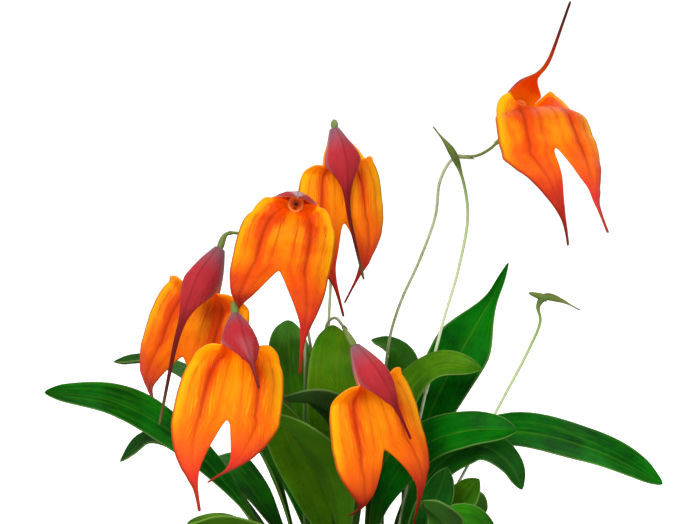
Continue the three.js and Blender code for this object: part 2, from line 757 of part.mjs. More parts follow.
// A plain hole in the bark along a stalk's straight stretch.
function stalkHole({ root, path }, radius) {
  const { foot, direction, collar } = stalkStart(root, path);
  const ends = [along(foot, direction, -GAP), along(collar, direction, -HOLE.spare)];
  return solidOf(taperedTube(ends, [radius, radius], HOLE.sides));
}

// Pseudo-random numbers from 0 to 1 that are the same on every run.
function seededNumbers(seed) {
  let state = seed;
  return () => {
    state = (state * 1103515245 + 12345) % 2147483648;
    return state / 2147483648;
  };
}

function barkGeometry(holes) {
  const under = POT.floor + GAP;
  const fill = (z) => {
    const outline = [
      [0, under],
      [innerRadius(under) - GAP, under],
      [innerRadius(z) - GAP, z],
      [0, z],
    ];
    return solidOf(lathe(outline, POT.sides));
  };
  const random = seededNumbers(BARK.seed);
  let bark = fill(BARK.level);
  for (let k = 0; k < BARK.chips; k += 1) {
    const [length, width, height] = BARK.chip.map((size) => size * lerp(...BARK.chipSizes, random()));
    const radius = (innerRadius(BARK.level) - BARK.chipEdge) * Math.sqrt((k + 0.5) / BARK.chips);
    const turn = k * BARK.chipTurn;
    const chip = new THREE.BoxGeometry(length, width, height);
    chip.deleteAttribute("normal");
    chip.deleteAttribute("uv");
    chip.rotateX((random() - 0.5) * 2 * BARK.chipTilt);
    chip.rotateY((random() - 0.5) * 2 * BARK.chipTilt);
    chip.rotateZ(random() * Math.PI);
    chip.translate(radius * Math.cos(turn), radius * Math.sin(turn), BARK.level);
    bark = bark.add(solidOf(chip));
  }
  bark = bark.intersect(fill(BARK.level + BARK.headroom));
  for (const hole of holes) bark = bark.subtract(hole);
  return geometryOf(bark);
}

// ---------------------------------------------------------------- the whole plant

const orchid = new THREE.Group();

function add(name, geometry, material) {
  const mesh = new THREE.Mesh(geometry, material);
  mesh.name = name;
  orchid.add(mesh);
}

const holes = [
  ...LEAVES.map((leaf) => stalkHole(leaf, HOLE.leaf)),
  ...[...SCAPES, ...BUD_SCAPES].map((scape) => stalkHole(scape, HOLE.scape)),
];
add("pot", potGeometry(), CLAY);
add("bark", barkGeometry(holes), BARK_BROWN);
const two = (i) => String(i + 1).padStart(2, "0");
LEAVES.forEach((leaf, i) => add(`leaf_${two(i)}`, leafGeometry(leaf), LEAF_GREEN));
BLOOMS.forEach((bloom, i) => {
  add(`scape_${i + 1}`, scapeGeometry(SCAPES[i], bloom), SCAPE_GREEN);
  add(`bloom_${i + 1}_lateral_sepals`, lateralGeometry(bloom), SEPAL_ORANGE);
  add(`bloom_${i + 1}_dorsal_sepal`, dorsalGeometry(bloom), SEPAL_PINK);
  add(`bloom_${i + 1}_column`, columnGeometry(bloom), COLUMN_CREAM);
});
BUD_SCAPES.forEach((scape, i) => add(`bud_scape_${i + 1}`, budScapeGeometry(scape), BUD_GREEN));

export default orchid;
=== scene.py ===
# %% [markdown]
# # A masdevallia orchid in a clay pot
#
# The plant has leathery leaves in a tuft, six orange blooms on thin stalks, two buds, a clay pot and
# the bark that it grows in. The imported model already has each of these as a plain closed solid, so it
# settles every size and place. This lesson gives each one its real surface: smooth curved meshes made
# from the same outlines, with veins, grooves and rims, and a finish worked out by shader nodes.
# We begin by loading the imported model.

# %% Load the imported plant
import math

import bmesh
import bpy
import numpy as np
from mathutils import Euler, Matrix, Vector


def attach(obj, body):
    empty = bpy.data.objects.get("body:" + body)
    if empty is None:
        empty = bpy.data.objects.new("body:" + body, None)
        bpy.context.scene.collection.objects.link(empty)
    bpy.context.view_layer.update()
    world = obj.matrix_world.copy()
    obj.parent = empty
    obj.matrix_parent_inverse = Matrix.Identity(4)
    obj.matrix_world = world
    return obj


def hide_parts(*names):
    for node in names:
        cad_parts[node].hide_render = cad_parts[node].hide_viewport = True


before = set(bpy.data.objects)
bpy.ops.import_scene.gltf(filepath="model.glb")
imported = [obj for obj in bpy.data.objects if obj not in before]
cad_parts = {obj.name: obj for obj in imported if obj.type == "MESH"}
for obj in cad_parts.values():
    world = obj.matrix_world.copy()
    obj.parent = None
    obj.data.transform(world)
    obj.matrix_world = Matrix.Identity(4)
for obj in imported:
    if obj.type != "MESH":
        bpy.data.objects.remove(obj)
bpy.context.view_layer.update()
MM = 0.001
print("packed nodes:", len(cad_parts))

# %% [markdown]
# ## Smooth lines through a few points
#
# A grower would draw a leaf or a stalk as a bow through a handful of points. We do the same: a list of
# knots gives a smooth line of values, such as a width along a leaf, and a list of points gives a smooth
# curve in space. Blender has curve objects, but plain arrays of points are easier to bend, widen and
# thicken later, so these helpers work on numpy arrays.


# %% Plain values
def unit(vectors):
    """Vectors of any shape, each brought to length 1."""
    vectors = np.asarray(vectors, float)
    return vectors / np.maximum(np.linalg.norm(vectors, axis=-1, keepdims=True), 1e-12)


def ease(x, start, end):
    """0 before start and 1 after end, with a soft change between them."""
    t = np.clip((np.asarray(x, float) - start) / (end - start), 0, 1)
    return t * t * (3 - 2 * t)


def between(x, rise, fall):
    """1 between two spans of x, eased up from 0 over the first and back down over the second."""
    return ease(x, *rise) * (1 - ease(x, *fall))


def bump(x, breadth):
    """1 where x is 0, with soft shoulders of that breadth."""
    return np.exp(-((x / breadth) ** 2))


def mixed(a, b, share):
    """Part of the way from a to b."""
    return a + (b - a) * share


def smooth_value(knots, x):
    """The value at x of a smooth line through (x, value) knots, level beyond both ends."""
    at, value = np.array(knots, float).T
    number = np.arange(len(at))
    before = np.maximum(number - 1, 0)
    after = np.minimum(number + 1, len(at) - 1)
    slope = (value[after] - value[before]) / (at[after] - at[before])
    x = np.clip(np.asarray(x, float), at[0], at[-1])
    k = np.clip(np.searchsorted(at, x, side="right") - 1, 0, len(at) - 2)
    width = at[k + 1] - at[k]
    t = (x - at[k]) / width
    rise = t * t * (3 - 2 * t)
    level = mixed(value[k], value[k + 1], rise)
    return level + ((t**3 - 2 * t**2 + t) * slope[k] + (t**3 - t**2) * slope[k + 1]) * width


# %% A smooth curve
class Line:
    """A smooth curve through points, asked for places by the distance from its start."""

    def __init__(self, points, steps=48):
        p = np.array(points, float)
        p = np.vstack([2 * p[0] - p[1], p, 2 * p[-1] - p[-2]])
        gap = np.linalg.norm(np.diff(p, axis=0), axis=1) ** 0.5
        spots = [p[1]]
        for i in range(1, len(p) - 2):
            before, here, after = gap[i - 1 : i + 2]
            a, b, c, d = p[i - 1 : i + 3]
            leave = ((b - a) / before - (c - a) / (before + here) + (c - b) / here) * here
            arrive = ((c - b) / here - (d - b) / (here + after) + (d - c) / after) * here
            for t in np.arange(1, steps + 1) / steps:
                square = (3 * (c - b) - 2 * leave - arrive) * t**2
                spots.append(b + leave * t + square + (2 * (b - c) + leave + arrive) * t**3)
        self.spots = np.array(spots)
        steps_taken = np.linalg.norm(np.diff(self.spots, axis=0), axis=1)
        self.travelled = np.concatenate([[0], np.cumsum(steps_taken)])
        self.length = self.travelled[-1]

    def at(self, distance):
        """The place at a distance from the start."""
        return np.stack([np.interp(distance, self.travelled, self.spots[:, k]) for k in range(3)], -1)

    def direction(self, distance, step=0.4):
        """Which way the curve runs there."""
        ahead = self.at(np.minimum(distance + step, self.length))
        return unit(ahead - self.at(np.maximum(distance - step, 0)))


print("a bow through 3 points is", round(Line([(0, 0, 0), (5, 0, 3), (10, 0, 0)]).length, 2), "long")

# %% [markdown]
# ## From points to a piece
#
# Every mesh here is one of two kinds. A loft is a row of closed rings, as a stalk, a leaf or a pot is. A
# sheet is a thin skin that gets a thickness and a half-round rim, as a sepal does. Modifiers could do
# both, but made one by one each point can carry numbers of its own, such as how far along the leaf it is,
# and the finishes read those numbers to put veins and colour changes in the right place.


# %% Lofts
def grid_quads(index):
    """The quads between point numbers that stand in rows and columns."""
    return np.stack([index[:-1, :-1], index[:-1, 1:], index[1:, 1:], index[1:, :-1]], -1).reshape(-1, 4)


def tube_quads(rows, around):
    """The point numbers of an open tube, row by row, and the quads between them."""
    index = np.arange(rows * around).reshape(rows, around)
    return index, grid_quads(np.column_stack([index, index[:, 0]]))


def circle(angle, first, second):
    """Directions at those angles, turning from the first one given towards the second."""
    return np.cos(angle)[:, None] * first + np.sin(angle)[:, None] * second


def loft(rings):
    """The points and faces of rings[row][point], closed at both ends."""
    index, sides = tube_quads(*rings.shape[:2])
    ends = [list(index[0][::-1]), list(index[-1])]
    return rings.reshape(-1, 3), sides.tolist() + ends


# %% Sheets with a thickness
def sheet_normals(points, quads):
    """Which way a sheet faces at each of its points."""
    corners = points[quads]
    face = np.cross(corners[:, 2] - corners[:, 0], corners[:, 3] - corners[:, 1])
    normals = np.zeros_like(points)
    for k in range(4):
        np.add.at(normals, quads[:, k], face)
    return unit(normals)


def thicken(points, quads, half):
    """A sheet with a rounded rim, that half thickness each way. Returns its points and faces, and which
    point of the sheet each came from."""
    normals = sheet_normals(points, quads)
    edges = np.concatenate([quads[:, [k, (k + 1) % 4]] for k in range(4)])
    known = set(map(tuple, edges.tolist()))
    rim = np.array([(a, b) for a, b in edges.tolist() if (b, a) not in known])
    outward = np.zeros_like(points)
    for a, b in rim:
        away = unit(np.cross(points[b] - points[a], normals[a] + normals[b]))
        outward[a] += away
        outward[b] += away
    border = np.unique(rim)
    lip = points[border] + unit(outward[border]) * half
    n = len(points)
    lip_of = {int(b): 2 * n + i for i, b in enumerate(border)}
    faces = quads.tolist() + (quads[:, ::-1] + n).tolist()
    for a, b in rim.tolist():
        faces.append([b, a, lip_of[a], lip_of[b]])
        faces.append([lip_of[b], lip_of[a], n + a, n + b])
    made = np.concatenate([points + normals * half, points - normals * half, lip])
    source = np.concatenate([np.arange(n), np.arange(n), border])
    return made, faces, source


# %% Join shapes and make a piece
def joined(*shapes):
    """Several (points, faces, numbers) as one. A number that a shape doesn't have is 0 there."""
    faces, count = [], 0
    for points, part, _ in shapes:
        faces += [[k + count for k in face] for face in part]
        count += len(points)
    numbers = {}
    for label in dict.fromkeys(label for *_, own in shapes for label in own):
        filled = [np.full(len(points), own.get(label, 0), float) for points, _, own in shapes]
        numbers[label] = np.concatenate(filled)
    return np.concatenate([points for points, _, _ in shapes]), faces, numbers


def put(name, data):
    """A new object in the scene."""
    thing = bpy.data.objects.new(name, data)
    bpy.context.scene.collection.objects.link(thing)
    return thing


def make_piece(name, node, slot, material, points, faces, numbers=None):
    """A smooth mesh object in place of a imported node. Its points are in millimetres from the frame's
    origin, and each of its numbers is one value, or a value for every point."""
    mesh = bpy.data.meshes.new(name)
    mesh.from_pydata((np.asarray(points) * MM).tolist(), [], faces)
    for label, values in (numbers or {}).items():
        attribute = mesh.attributes.new(label, "FLOAT", "POINT")
        attribute.data.foreach_set("value", np.full(len(points), values, np.float32))
    mesh.polygons.foreach_set("use_smooth", [True] * len(mesh.polygons))
    mesh.update()
    solid = bmesh.new()
    solid.from_mesh(mesh)
    bmesh.ops.recalc_face_normals(solid, faces=solid.faces)
    solid.to_mesh(mesh)
    solid.free()
    mesh.materials.append(material)
    piece = put(name, mesh)
    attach(piece, "root")
    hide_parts(node)
    return piece


def triangles(*pieces):
    """How many triangles the pieces have together."""
    return sum(len(face.vertices) - 2 for piece in pieces for face in piece.data.polygons)


def tell(label, pieces):
    """Prints how many pieces were just made, and of how many triangles."""
    print(f"{label}: {len(pieces)} with {triangles(*pieces)} triangles")


# %% [markdown]
# ## Shader maths as plain Python
#
# A finish in Blender is a web of nodes. To keep it readable we wrap a node's output in a small class,
# so that `1 - vein * 0.5` adds the Math nodes by itself. A second class holds one material: it adds any
# other node from its type, its settings and the values or links of its sockets. Colours are written as
# a painter's hex codes and turned into the linear light that the shader works in.


# %% Arithmetic on a node's output
class Value:
    """A node's output. Arithmetic on it adds Math nodes to its finish."""

    def __init__(self, finish, socket):
        self.finish = finish
        self.socket = socket

    def _math(self, operation, *values):
        return self.finish.node("ShaderNodeMath", {"operation": operation}, dict(enumerate(values)))

    def __add__(self, other):
        return self._math("ADD", self, other)

    def __sub__(self, other):
        return self._math("SUBTRACT", self, other)

    def __rsub__(self, other):
        return self._math("SUBTRACT", other, self)

    def __mul__(self, other):
        return self._math("MULTIPLY", self, other)

    def __abs__(self):
        return self._math("ABSOLUTE", self)

    __radd__ = __add__
    __rmul__ = __mul__

    def to(self, low, high):
        """0 where this is low or less and 1 where it is high or more, eased between."""
        settings = {"interpolation_type": "SMOOTHSTEP"}
        ends = {"Value": self, "From Min": low, "From Max": high}
        return self.finish.node("ShaderNodeMapRange", settings, ends)


# %% One material
def paint(code):
    """A hex code as linear red, green, blue and alpha."""
    parts = [int(code[i : i + 2], 16) / 255 for i in (1, 3, 5)]
    return [((c + 0.055) / 1.055) ** 2.4 if c > 0.04045 else c / 12.92 for c in parts] + [1]


class Finish:
    """One material. Keyword arguments set constants on its surface shader."""

    def __init__(self, name, **constants):
        self.material = bpy.data.materials.new(name)
        self.material.use_nodes = True
        self.tree = self.material.node_tree
        self.surface = self.tree.nodes["Principled BSDF"]
        for socket, value in constants.items():
            self.surface.inputs[socket.replace("_", " ").title().replace("Ior", "IOR")].default_value = value

    def join(self, target, value):
        """Links a value to a socket, or sets what the socket holds."""
        if isinstance(value, Value):
            self.tree.links.new(value.socket, target)
        else:
            target.default_value = paint(value) if isinstance(value, str) else value

    def node(self, kind, settings=None, sockets=None, out=0):
        """Any node, from its type, its settings, and the values or links of its sockets."""
        node = self.tree.nodes.new(kind)
        for setting, value in (settings or {}).items():
            if setting != "stops":
                setattr(node, setting, value)
                continue
            stops = node.color_ramp.elements
            while len(stops) < len(value):
                stops.new(1)
            for stop, (place, code) in zip(stops, value):
                stop.position = place
                stop.color = paint(code)
        for socket, value in (sockets or {}).items():
            self.join(node.inputs[socket], value)
        return Value(self, node.outputs[out])

    def number(self, label):
        """A number that the mesh's points carry."""
        return self.node("ShaderNodeAttribute", {"attribute_name": label}, out="Fac")

    def numbers(self, *labels):
        """Several of those numbers."""
        return [self.number(label) for label in labels]

    def place(self):
        """Where a point is, in metres from the frame's origin."""
        return self.node("ShaderNodeTexCoord", out="Object")

    def height(self):
        """How high a point is above the frame's origin, in metres."""
        return self.node("ShaderNodeSeparateXYZ", {}, {"Vector": self.place()}, out="Z")

    def vector(self, x, y, z):
        return self.node("ShaderNodeCombineXYZ", {}, {"X": x, "Y": y, "Z": z})

    def noise(self, vector, scale, detail=3, roughness=0.5):
        sockets = {"Vector": vector, "Scale": scale, "Detail": detail, "Roughness": roughness}
        return self.node("ShaderNodeTexNoise", {}, sockets)

    def cells(self, vector, scale):
        """How far a point is from the middle of its cell, for specks and beads."""
        return self.node("ShaderNodeTexVoronoi", {}, {"Vector": vector, "Scale": scale})

    def ramp(self, value, *stops):
        return self.node("ShaderNodeValToRGB", {"stops": stops}, {"Fac": value})

    def mix(self, share, first, second):
        """The second colour laid over the first by that share."""
        settings = {"data_type": "RGBA", "clamp_factor": True}
        return self.node("ShaderNodeMix", settings, {0: share, 6: first, 7: second}, out=2)

    def layers(self, colour, *others):
        """A colour with others laid over it, from the lowest up. Each is a share and a colour."""
        for share, other in others:
            colour = self.mix(share, colour, other)
        return colour

    def relief(self, height, depth):
        """A bump node for a height from 0 to 1 that is that many metres deep."""
        return self.node("ShaderNodeBump", {}, {"Height": height, "Distance": depth, "Strength": 1.0})

    def done(self, **inputs):
        """Feeds the surface shader, and gives the finished material."""
        for socket, value in inputs.items():
            self.join(self.surface.inputs[socket.replace("_", " ").title()], value)
        nodes = len(self.tree.nodes)
        print(f"{self.material.name}: {nodes} nodes")
        return self.material


# %% [markdown]
# ## The leaf's finish
#
# A real leaf is deep green and leathery, with a wax that gives broad soft highlights. Its margin is a
# thin paler line, the midrib is lighter, and faint veins run along it. The underside is duller. A tube
# of dry brown sheath stays round the foot of the stalk. One material does all of it from the numbers on
# the mesh: across runs from -1 to 1 between the margins, along from 0 at the foot to 1 at the tip, under
# is 1 on the underside, tint and grey say how yellow and how grey this leaf's green is, and sheath marks
# the dry skin. The colours lie over one another like coats of paint, each with its own share.

# %% Leaf finish: patches, strands and edges
leaf = Finish("waxy_leaf", coat_roughness=0.35, specular_ior_level=0.04)
leaf_across, leaf_along, leaf_under, leaf_tint = leaf.numbers("across", "along", "under", "tint")
leaf_grey, leaf_sheath = leaf.numbers("grey", "sheath")
leaf_place = leaf.place()
leaf_patches = leaf.noise(leaf_place, 38, 4, 0.6)
leaf_strands = leaf.noise(leaf.vector(leaf_across * 2, leaf_along * 2.4, leaf_tint * 30), 2.4, 4, 0.55)
leaf_fibres = leaf.noise(leaf.vector(leaf_across * 20, leaf_along * 3, leaf_tint), 4, 4, 0.7)
leaf_specks = 1 - leaf.cells(leaf_place, 210).to(0.08, 0.16)
leaf_rib = 1 - abs(leaf_across).to(0.015, 0.07)
leaf_margin = abs(leaf_across).to(0.93, 1.0)

# %% Leaf finish: the layers of colour
leaf_colour = leaf.layers(
    leaf.mix(leaf_patches.to(0.3, 0.7), "#013f06", "#037a05"),
    (leaf_tint.to(0.35, 0.9), leaf.mix(leaf_patches.to(0.3, 0.7), "#3c7004", "#669a06")),
    (leaf_strands.to(0.45, 0.75) * (0.2 + leaf_tint * 0.5), "#3f9c08"),
    (leaf_under * 0.5, "#4a8018"),
    (leaf_grey * 0.75, "#34402a"),
    (leaf_rib * 0.25, "#5c9820"),
    (leaf_margin * 0.35, "#8aa858"),
    ((1 - leaf_along.to(0.06, 0.46)) * 0.7, "#7a9c30"),
    (leaf_specks * leaf_patches.to(0.55, 0.7) * 0.35, "#1f3d10"),
    (leaf_sheath, leaf.mix(leaf_fibres.to(0.35, 0.7), "#6d4c2c", "#c5a878")),
)

# %% Leaf finish: the relief, and all of it together
leaf_veins = leaf.noise(leaf.vector(leaf_across * 22, leaf_along * 1.2, leaf_tint * 9), 2.6, 2, 0.4)
leaf_skin = leaf.cells(leaf_place, 1500)
leaf_relief = leaf_veins * 0.7 + leaf_skin * 0.14 + leaf_patches * 0.5
leaf_material = leaf.done(
    base_color=leaf_colour,
    roughness=0.3 + leaf_patches * 0.14 + leaf_under * 0.2 + leaf_sheath * 0.3,
    coat_weight=0.035 - leaf_under * 0.02 - leaf_sheath * 0.015,
    normal=leaf.relief(leaf_relief, 0.0007),
)

# %% [markdown]
# ## The leaves
#
# Each leaf is a channelled stalk that opens into a blade shaped like a long spoon. We lay the midrib as
# a curve, set how wide the leaf is and how far its halves fold up along the way, and loft rings across
# it. A ring has a rounded groove over the midrib, a keel under it and a thin rounded margin, and the
# margin waves a little, because no leaf edge is ruled.

# %% Leaf measures
# Half a leaf's width as a share of the widest, against the share of the way from foot to tip.
LEAF_OUTLINE = [
    (0, 0.19), (0.26, 0.17), (0.4, 0.36), (0.55, 0.76), (0.72, 1), (0.86, 0.88), (0.95, 0.55), (1, 0.1),
]
LEAF_ROWS = 52
ROWS_TO_TIP = 1.35  # how much closer the rows are towards the tip
LEAF_ACROSS = 14  # stations from one margin to the other
BARK_LEVEL = 90
STALK_DEPTH = 8
STALK_COLLAR = 16  # the straight first stretch of every stalk
STALK_LEAN = 0.55
STALK_FOLD = 38  # degrees that each half rises from the midrib
BLADE_FOLD = 14
STALK_TO_BLADE = (0.2, 0.55)  # where along the leaf the one fold becomes the other
TURN_OF_FACE = (0.15, 0.5)  # where the blade turns to its own way of looking
DRAWN_TIP = (0.74, 0.92)  # where a tip that is drawn out to a point gets narrower
TIP_ROUND = 1.6
RIB_THICKNESS = 1.9
MARGIN_THICKNESS = 0.8
GROOVE = 0.14  # how soft the fold over the midrib is, as a share of the half width
KEEL = 0.5
KEEL_BREADTH = 1.3
WAVE = 0.7  # how far the margin waves up and down
WAVES = (2.2, 3.6)  # how many there may be from foot to tip
WAVED = ((0.4, 0.65), (0.93, 1))  # where the waves begin and end


# %% The leaves' places
def shoot(root, *path, **measures):
    """A leaf or a stalk: where it leaves the bark, points that it passes up to its tip, and its measures."""
    return {"root": root, "path": list(path), **measures}


# The path of a leaf is its midrib. width: the widest. face: where the blade looks, if it isn't turned in
# and up as most are. drawn: how far the tip is drawn out to a point. warm and grey: how yellow and how
# grey its green is.
LEAVES = [
    shoot(
        (-24, -6), (-49, -1, 139), (-75, -2, 169), (-106, -11, 190), (-136, -18, 196),
        width=18, face=(0.1, -0.7, 0.7), warm=0.3,
    ),
    shoot(
        (16, 7), (24, 10, 133), (40, 11, 157), (72, 6, 172), (109, 0, 166), (142, -6, 151),
        width=22, face=(0.1, -0.6, 0.8), warm=0.15,
    ),
    shoot(
        (9, -5), (14, -4, 141), (31, -6, 167), (53, -16, 178), (74, -24, 180),
        width=20, face=(0.1, -0.8, 0.6), warm=0,
    ),
    shoot(
        (23, -6), (27, -6, 138), (43, -8, 163), (59, -12, 170), (71, -17, 163), (77, -20, 152),
        width=16, face=(0.3, -0.8, 0.5), warm=0, grey=0.3,
    ),
    shoot(
        (23, 17), (31, 19, 160), (44, 20, 193), (57, 20, 217), (67, 20, 235), (73, 20, 249),
        width=27, face=(-0.2, -1, 0.2), drawn=0.75, warm=0.05,
    ),
    shoot(
        (7, 3), (13, 6, 152), (25, 3, 188), (40, -4, 205), (59, -10, 205),
        width=18, face=(-0.4, -0.6, 0.6), warm=0.75,
    ),
    shoot(
        (9, 20), (15, 29, 147), (26, 37, 183), (22, 41, 203), (10, 41, 209),
        width=18, warm=0.55, grey=0.35,
    ),
    shoot(
        (-3, 2), (-5, -1, 132), (-7, -2, 174), (-8, 2, 208), (-8, 13, 221),
        width=24, face=(0, -1, 0.2), warm=0.85,
    ),
    shoot(
        (-12, 6), (-15, 6, 131), (-23, 9, 168), (-28, 14, 206), (-29, 32, 220),
        width=22, face=(0.1, -1, 0.2), warm=0.6, grey=0.1,
    ),
    shoot(
        (2, -12), (1, -14, 141), (0, -20, 179), (-13, -30, 194), (-29, -38, 198),
        width=21, warm=0.4, grey=0.8,
    ),
    shoot((-5, -15), (-3, -15, 128), (-9, -25, 162), (-23, -36, 182), (-38, -40, 191), width=21, warm=0.7),
    shoot(
        (-11, -8), (-9, -8, 118), (-17, -10, 147), (-29, -14, 176), (-39, -16, 194),
        width=20, face=(0, -1, 0.3), warm=0.75,
    ),
    shoot(
        (-14, -16), (-16, -20, 110), (-29, -32, 130), (-50, -46, 144), (-70, -56, 146),
        width=23, warm=0.8,
    ),
    shoot((-23, 3), (-40, 6, 127), (-69, 10, 156), (-92, 10, 168), (-106, 8, 158), width=14, grey=0.5),
    shoot((-20, 11), (-41, 18, 161), (-75, 30, 192), (-94, 36, 200), (-112, 38, 199), width=16, warm=0.5),
    shoot(
        (13, -21), (26, -28, 107), (40, -43, 130), (41, -53, 146), (31, -61, 158),
        width=16, warm=0.1, grey=0.5,
    ),
    shoot(
        (20, -14), (24, -20, 104), (37, -29, 126), (51, -35, 140), (64, -39, 131),
        width=20, face=(0.2, -0.8, 0.5), warm=0.5,
    ),
    shoot(
        (15, -12), (20, -15, 107), (32, -20, 132), (39, -24, 151), (43, -27, 164),
        width=16, face=(0, -1, 0.2), warm=0.1, grey=0.4,
    ),
    shoot(
        (28, -10), (29, -10, 107), (41, -14, 133), (51, -16, 147), (58, -16, 156),
        width=17, face=(-0.4, -0.8, 0.4), warm=0.7,
    ),
    shoot((-13, 18), (-24, 34, 130), (-34, 58, 160), (-40, 88, 170), width=22),
    shoot((-4, 21), (-8, 38, 132), (-12, 66, 165), (-14, 100, 178), width=23),
    shoot((4, 25), (12, 42, 134), (18, 72, 166), (24, 104, 172), width=22),
    shoot((16, 22), (30, 36, 132), (46, 58, 158), (58, 84, 160), width=21),
    shoot((26, 6), (38, 20, 122), (52, 34, 132), (64, 50, 120), width=19),
    shoot((-21, 19), (-38, 28, 126), (-58, 42, 148), (-74, 58, 146), width=21),
    shoot((-10, 27), (-18, 48, 122), (-22, 76, 140), (-24, 102, 132), width=20),
    shoot((-3, -25), (-6, -42, 116), (-12, -62, 132), (-18, -80, 122), width=20),
    shoot((10, -28), (18, -42, 114), (30, -58, 124), (42, -72, 114), width=19),
    shoot((-24, -16), (-42, -28, 112), (-62, -42, 120), (-80, -52, 108), width=20),
]


# %% The foot of a stalk
def stalk_start(root, path):
    """The foot of a stalk in the bark and the collar above it, which lie on a straight stretch."""
    ground = np.array([root[0], root[1], BARK_LEVEL], float)
    rise = unit(np.array(path[0]) - ground)
    direction = unit(mixed(np.array([0, 0, 1.0]), rise, STALK_LEAN))
    foot = ground - direction * STALK_DEPTH
    return foot, foot + direction * STALK_COLLAR


# %% A leaf's section
def leaf_section(share, half, luck):
    """Across a leaf, row by row: places from -1 to 1, how far aside they lie, how high the top and the
    underside are there, and how slim the row is."""
    fold = np.radians(mixed(STALK_FOLD, BLADE_FOLD, ease(share, *STALK_TO_BLADE)))[:, None]
    q = np.linspace(-1, 1, LEAF_ACROSS + 1)
    bowl = (np.sqrt(q**2 + GROOVE**2) - GROOVE) / (math.sqrt(1 + GROOVE**2) - GROOVE)
    phase = luck.uniform(0, 2 * np.pi, 4)
    beat = luck.uniform(*WAVES, 2)
    left = np.sin(share * beat[0] * 2 * np.pi + phase[0]) + 0.4 * np.sin(share * 23 + phase[1])
    right = np.sin(share * beat[1] * 2 * np.pi + phase[2]) + 0.4 * np.sin(share * 19 + phase[3])
    waved = between(share, *WAVED)[:, None] * np.abs(q) ** 2.5 * WAVE
    wave = np.where(q < 0, left[:, None], right[:, None]) * waved
    over = half[:, None] * q * np.cos(fold)
    slim = np.clip(half / 3, 0.15, 1)[:, None]
    top = half[:, None] * bowl * np.sin(fold) + wave + MARGIN_THICKNESS / 2 * slim
    thickness = mixed(RIB_THICKNESS, MARGIN_THICKNESS, np.abs(q)) * slim
    return q, over, top, top - thickness - KEEL * bump(over, KEEL_BREADTH) * slim, slim


# %% Leaf shape
def leaf_shape(leaf_measures, luck):
    """The line of a leaf's midrib, and its points, faces and numbers."""
    root, path = leaf_measures["root"], leaf_measures["path"]
    line = Line([*stalk_start(root, path), *path])
    share = 1 - (1 - np.linspace(0, 1, LEAF_ROWS)) ** ROWS_TO_TIP
    spots = line.at(share * line.length)
    tangents = line.direction(share * line.length)
    usual = np.array([*(unit([-root[0], -root[1]]) * 0.5), 1.0])
    turned = np.array(leaf_measures.get("face", usual), float)
    looks = mixed(usual, turned, ease(share, *TURN_OF_FACE)[:, None])
    normals = unit(looks - tangents * np.sum(looks * tangents, -1, keepdims=True))
    sides = np.cross(tangents, normals)
    half = leaf_measures["width"] / 2 * smooth_value(LEAF_OUTLINE, share)
    half = half * (1 - leaf_measures.get("drawn", 0) * ease(share, *DRAWN_TIP))
    tip = np.clip((share - 1) * line.length / TIP_ROUND + 1, 0, 1)
    half = half * np.sqrt(np.maximum(1 - tip**2, 0.004))
    q, over, top, bottom, slim = leaf_section(share, half, luck)

    def spread(sideways, upwards):
        return spots[:, None] + sides[:, None] * sideways[..., None] + normals[:, None] * upwards[..., None]

    middle = (top + bottom) / 2
    lip = MARGIN_THICKNESS * 0.42 * slim
    right = spread(over[:, -1:] + lip, middle[:, -1:])
    left = spread(over[:, :1] - lip, middle[:, :1])
    under = spread(over, bottom)[:, ::-1]
    rings = np.concatenate([spread(over, top), right, under, left], axis=1)
    across = np.concatenate([q, [1], q[::-1], [-1]])
    below = np.concatenate([np.zeros(len(q)), [0.5], np.ones(len(q)), [0.5]])
    numbers = {
        "across": np.tile(across, LEAF_ROWS),
        "under": np.tile(below, LEAF_ROWS),
        "along": np.repeat(share, rings.shape[1]),
    }
    return line, (*loft(rings), numbers)


# %% The sheath round a leaf's foot
SHEATH_FOOT = 5  # how far up the stalk it starts
SHEATH_RADIUS = 2.75
SHEATH_HEIGHTS = (11, 19)
SHEATH_HALF = 0.14  # half its thickness


def sheath_shape(line, luck):
    """A dry skin round the foot of a stalk, torn to a point on one side."""
    rows, around = 9, 18
    angle = np.linspace(0, 2 * np.pi, around, endpoint=False)
    height = luck.uniform(*SHEATH_HEIGHTS)
    lean = luck.uniform(0, 2 * np.pi)
    top = height * (0.72 + 0.28 * np.cos(angle - lean)) + luck.uniform(-0.8, 0.8, around)
    share = np.linspace(0, 1, rows)[:, None]
    distance = SHEATH_FOOT + share * top
    spots = line.at(distance)
    tangents = line.direction(distance)
    first = unit(np.cross(tangents, [0.3, 1, 0.1]))
    second = np.cross(tangents, first)
    radius = SHEATH_RADIUS - 0.35 * np.sin(share * np.pi) + 0.5 * share**3 + 0.12 * np.sin(angle * 7 + lean)
    points = (spots + circle(angle, first, second) * radius[..., None]).reshape(-1, 3)
    made, faces, source = thicken(points, tube_quads(rows, around)[1], SHEATH_HALF)
    across, along = np.tile(angle, rows)[source], np.repeat(share[:, 0], around)[source]
    return made, faces, {"across": across, "along": along, "sheath": 1}


# %% Make the leaves
USUAL_TINTS = (0, 0.5)
luck = np.random.default_rng(11)
leaves = []
for number, measures in enumerate(LEAVES, start=1):
    line, blade = leaf_shape(measures, luck)
    points, faces, numbers = joined(blade, sheath_shape(line, luck))
    tint = luck.uniform(*USUAL_TINTS)
    numbers.update(tint=measures.get("warm", tint), grey=measures.get("grey", 0))
    name = f"leathery_leaf_{number:02d}"
    leaves.append(make_piece(name, f"leaf_{number:02d}", "leaf", leaf_material, points, faces, numbers))
tell("leaves", leaves)
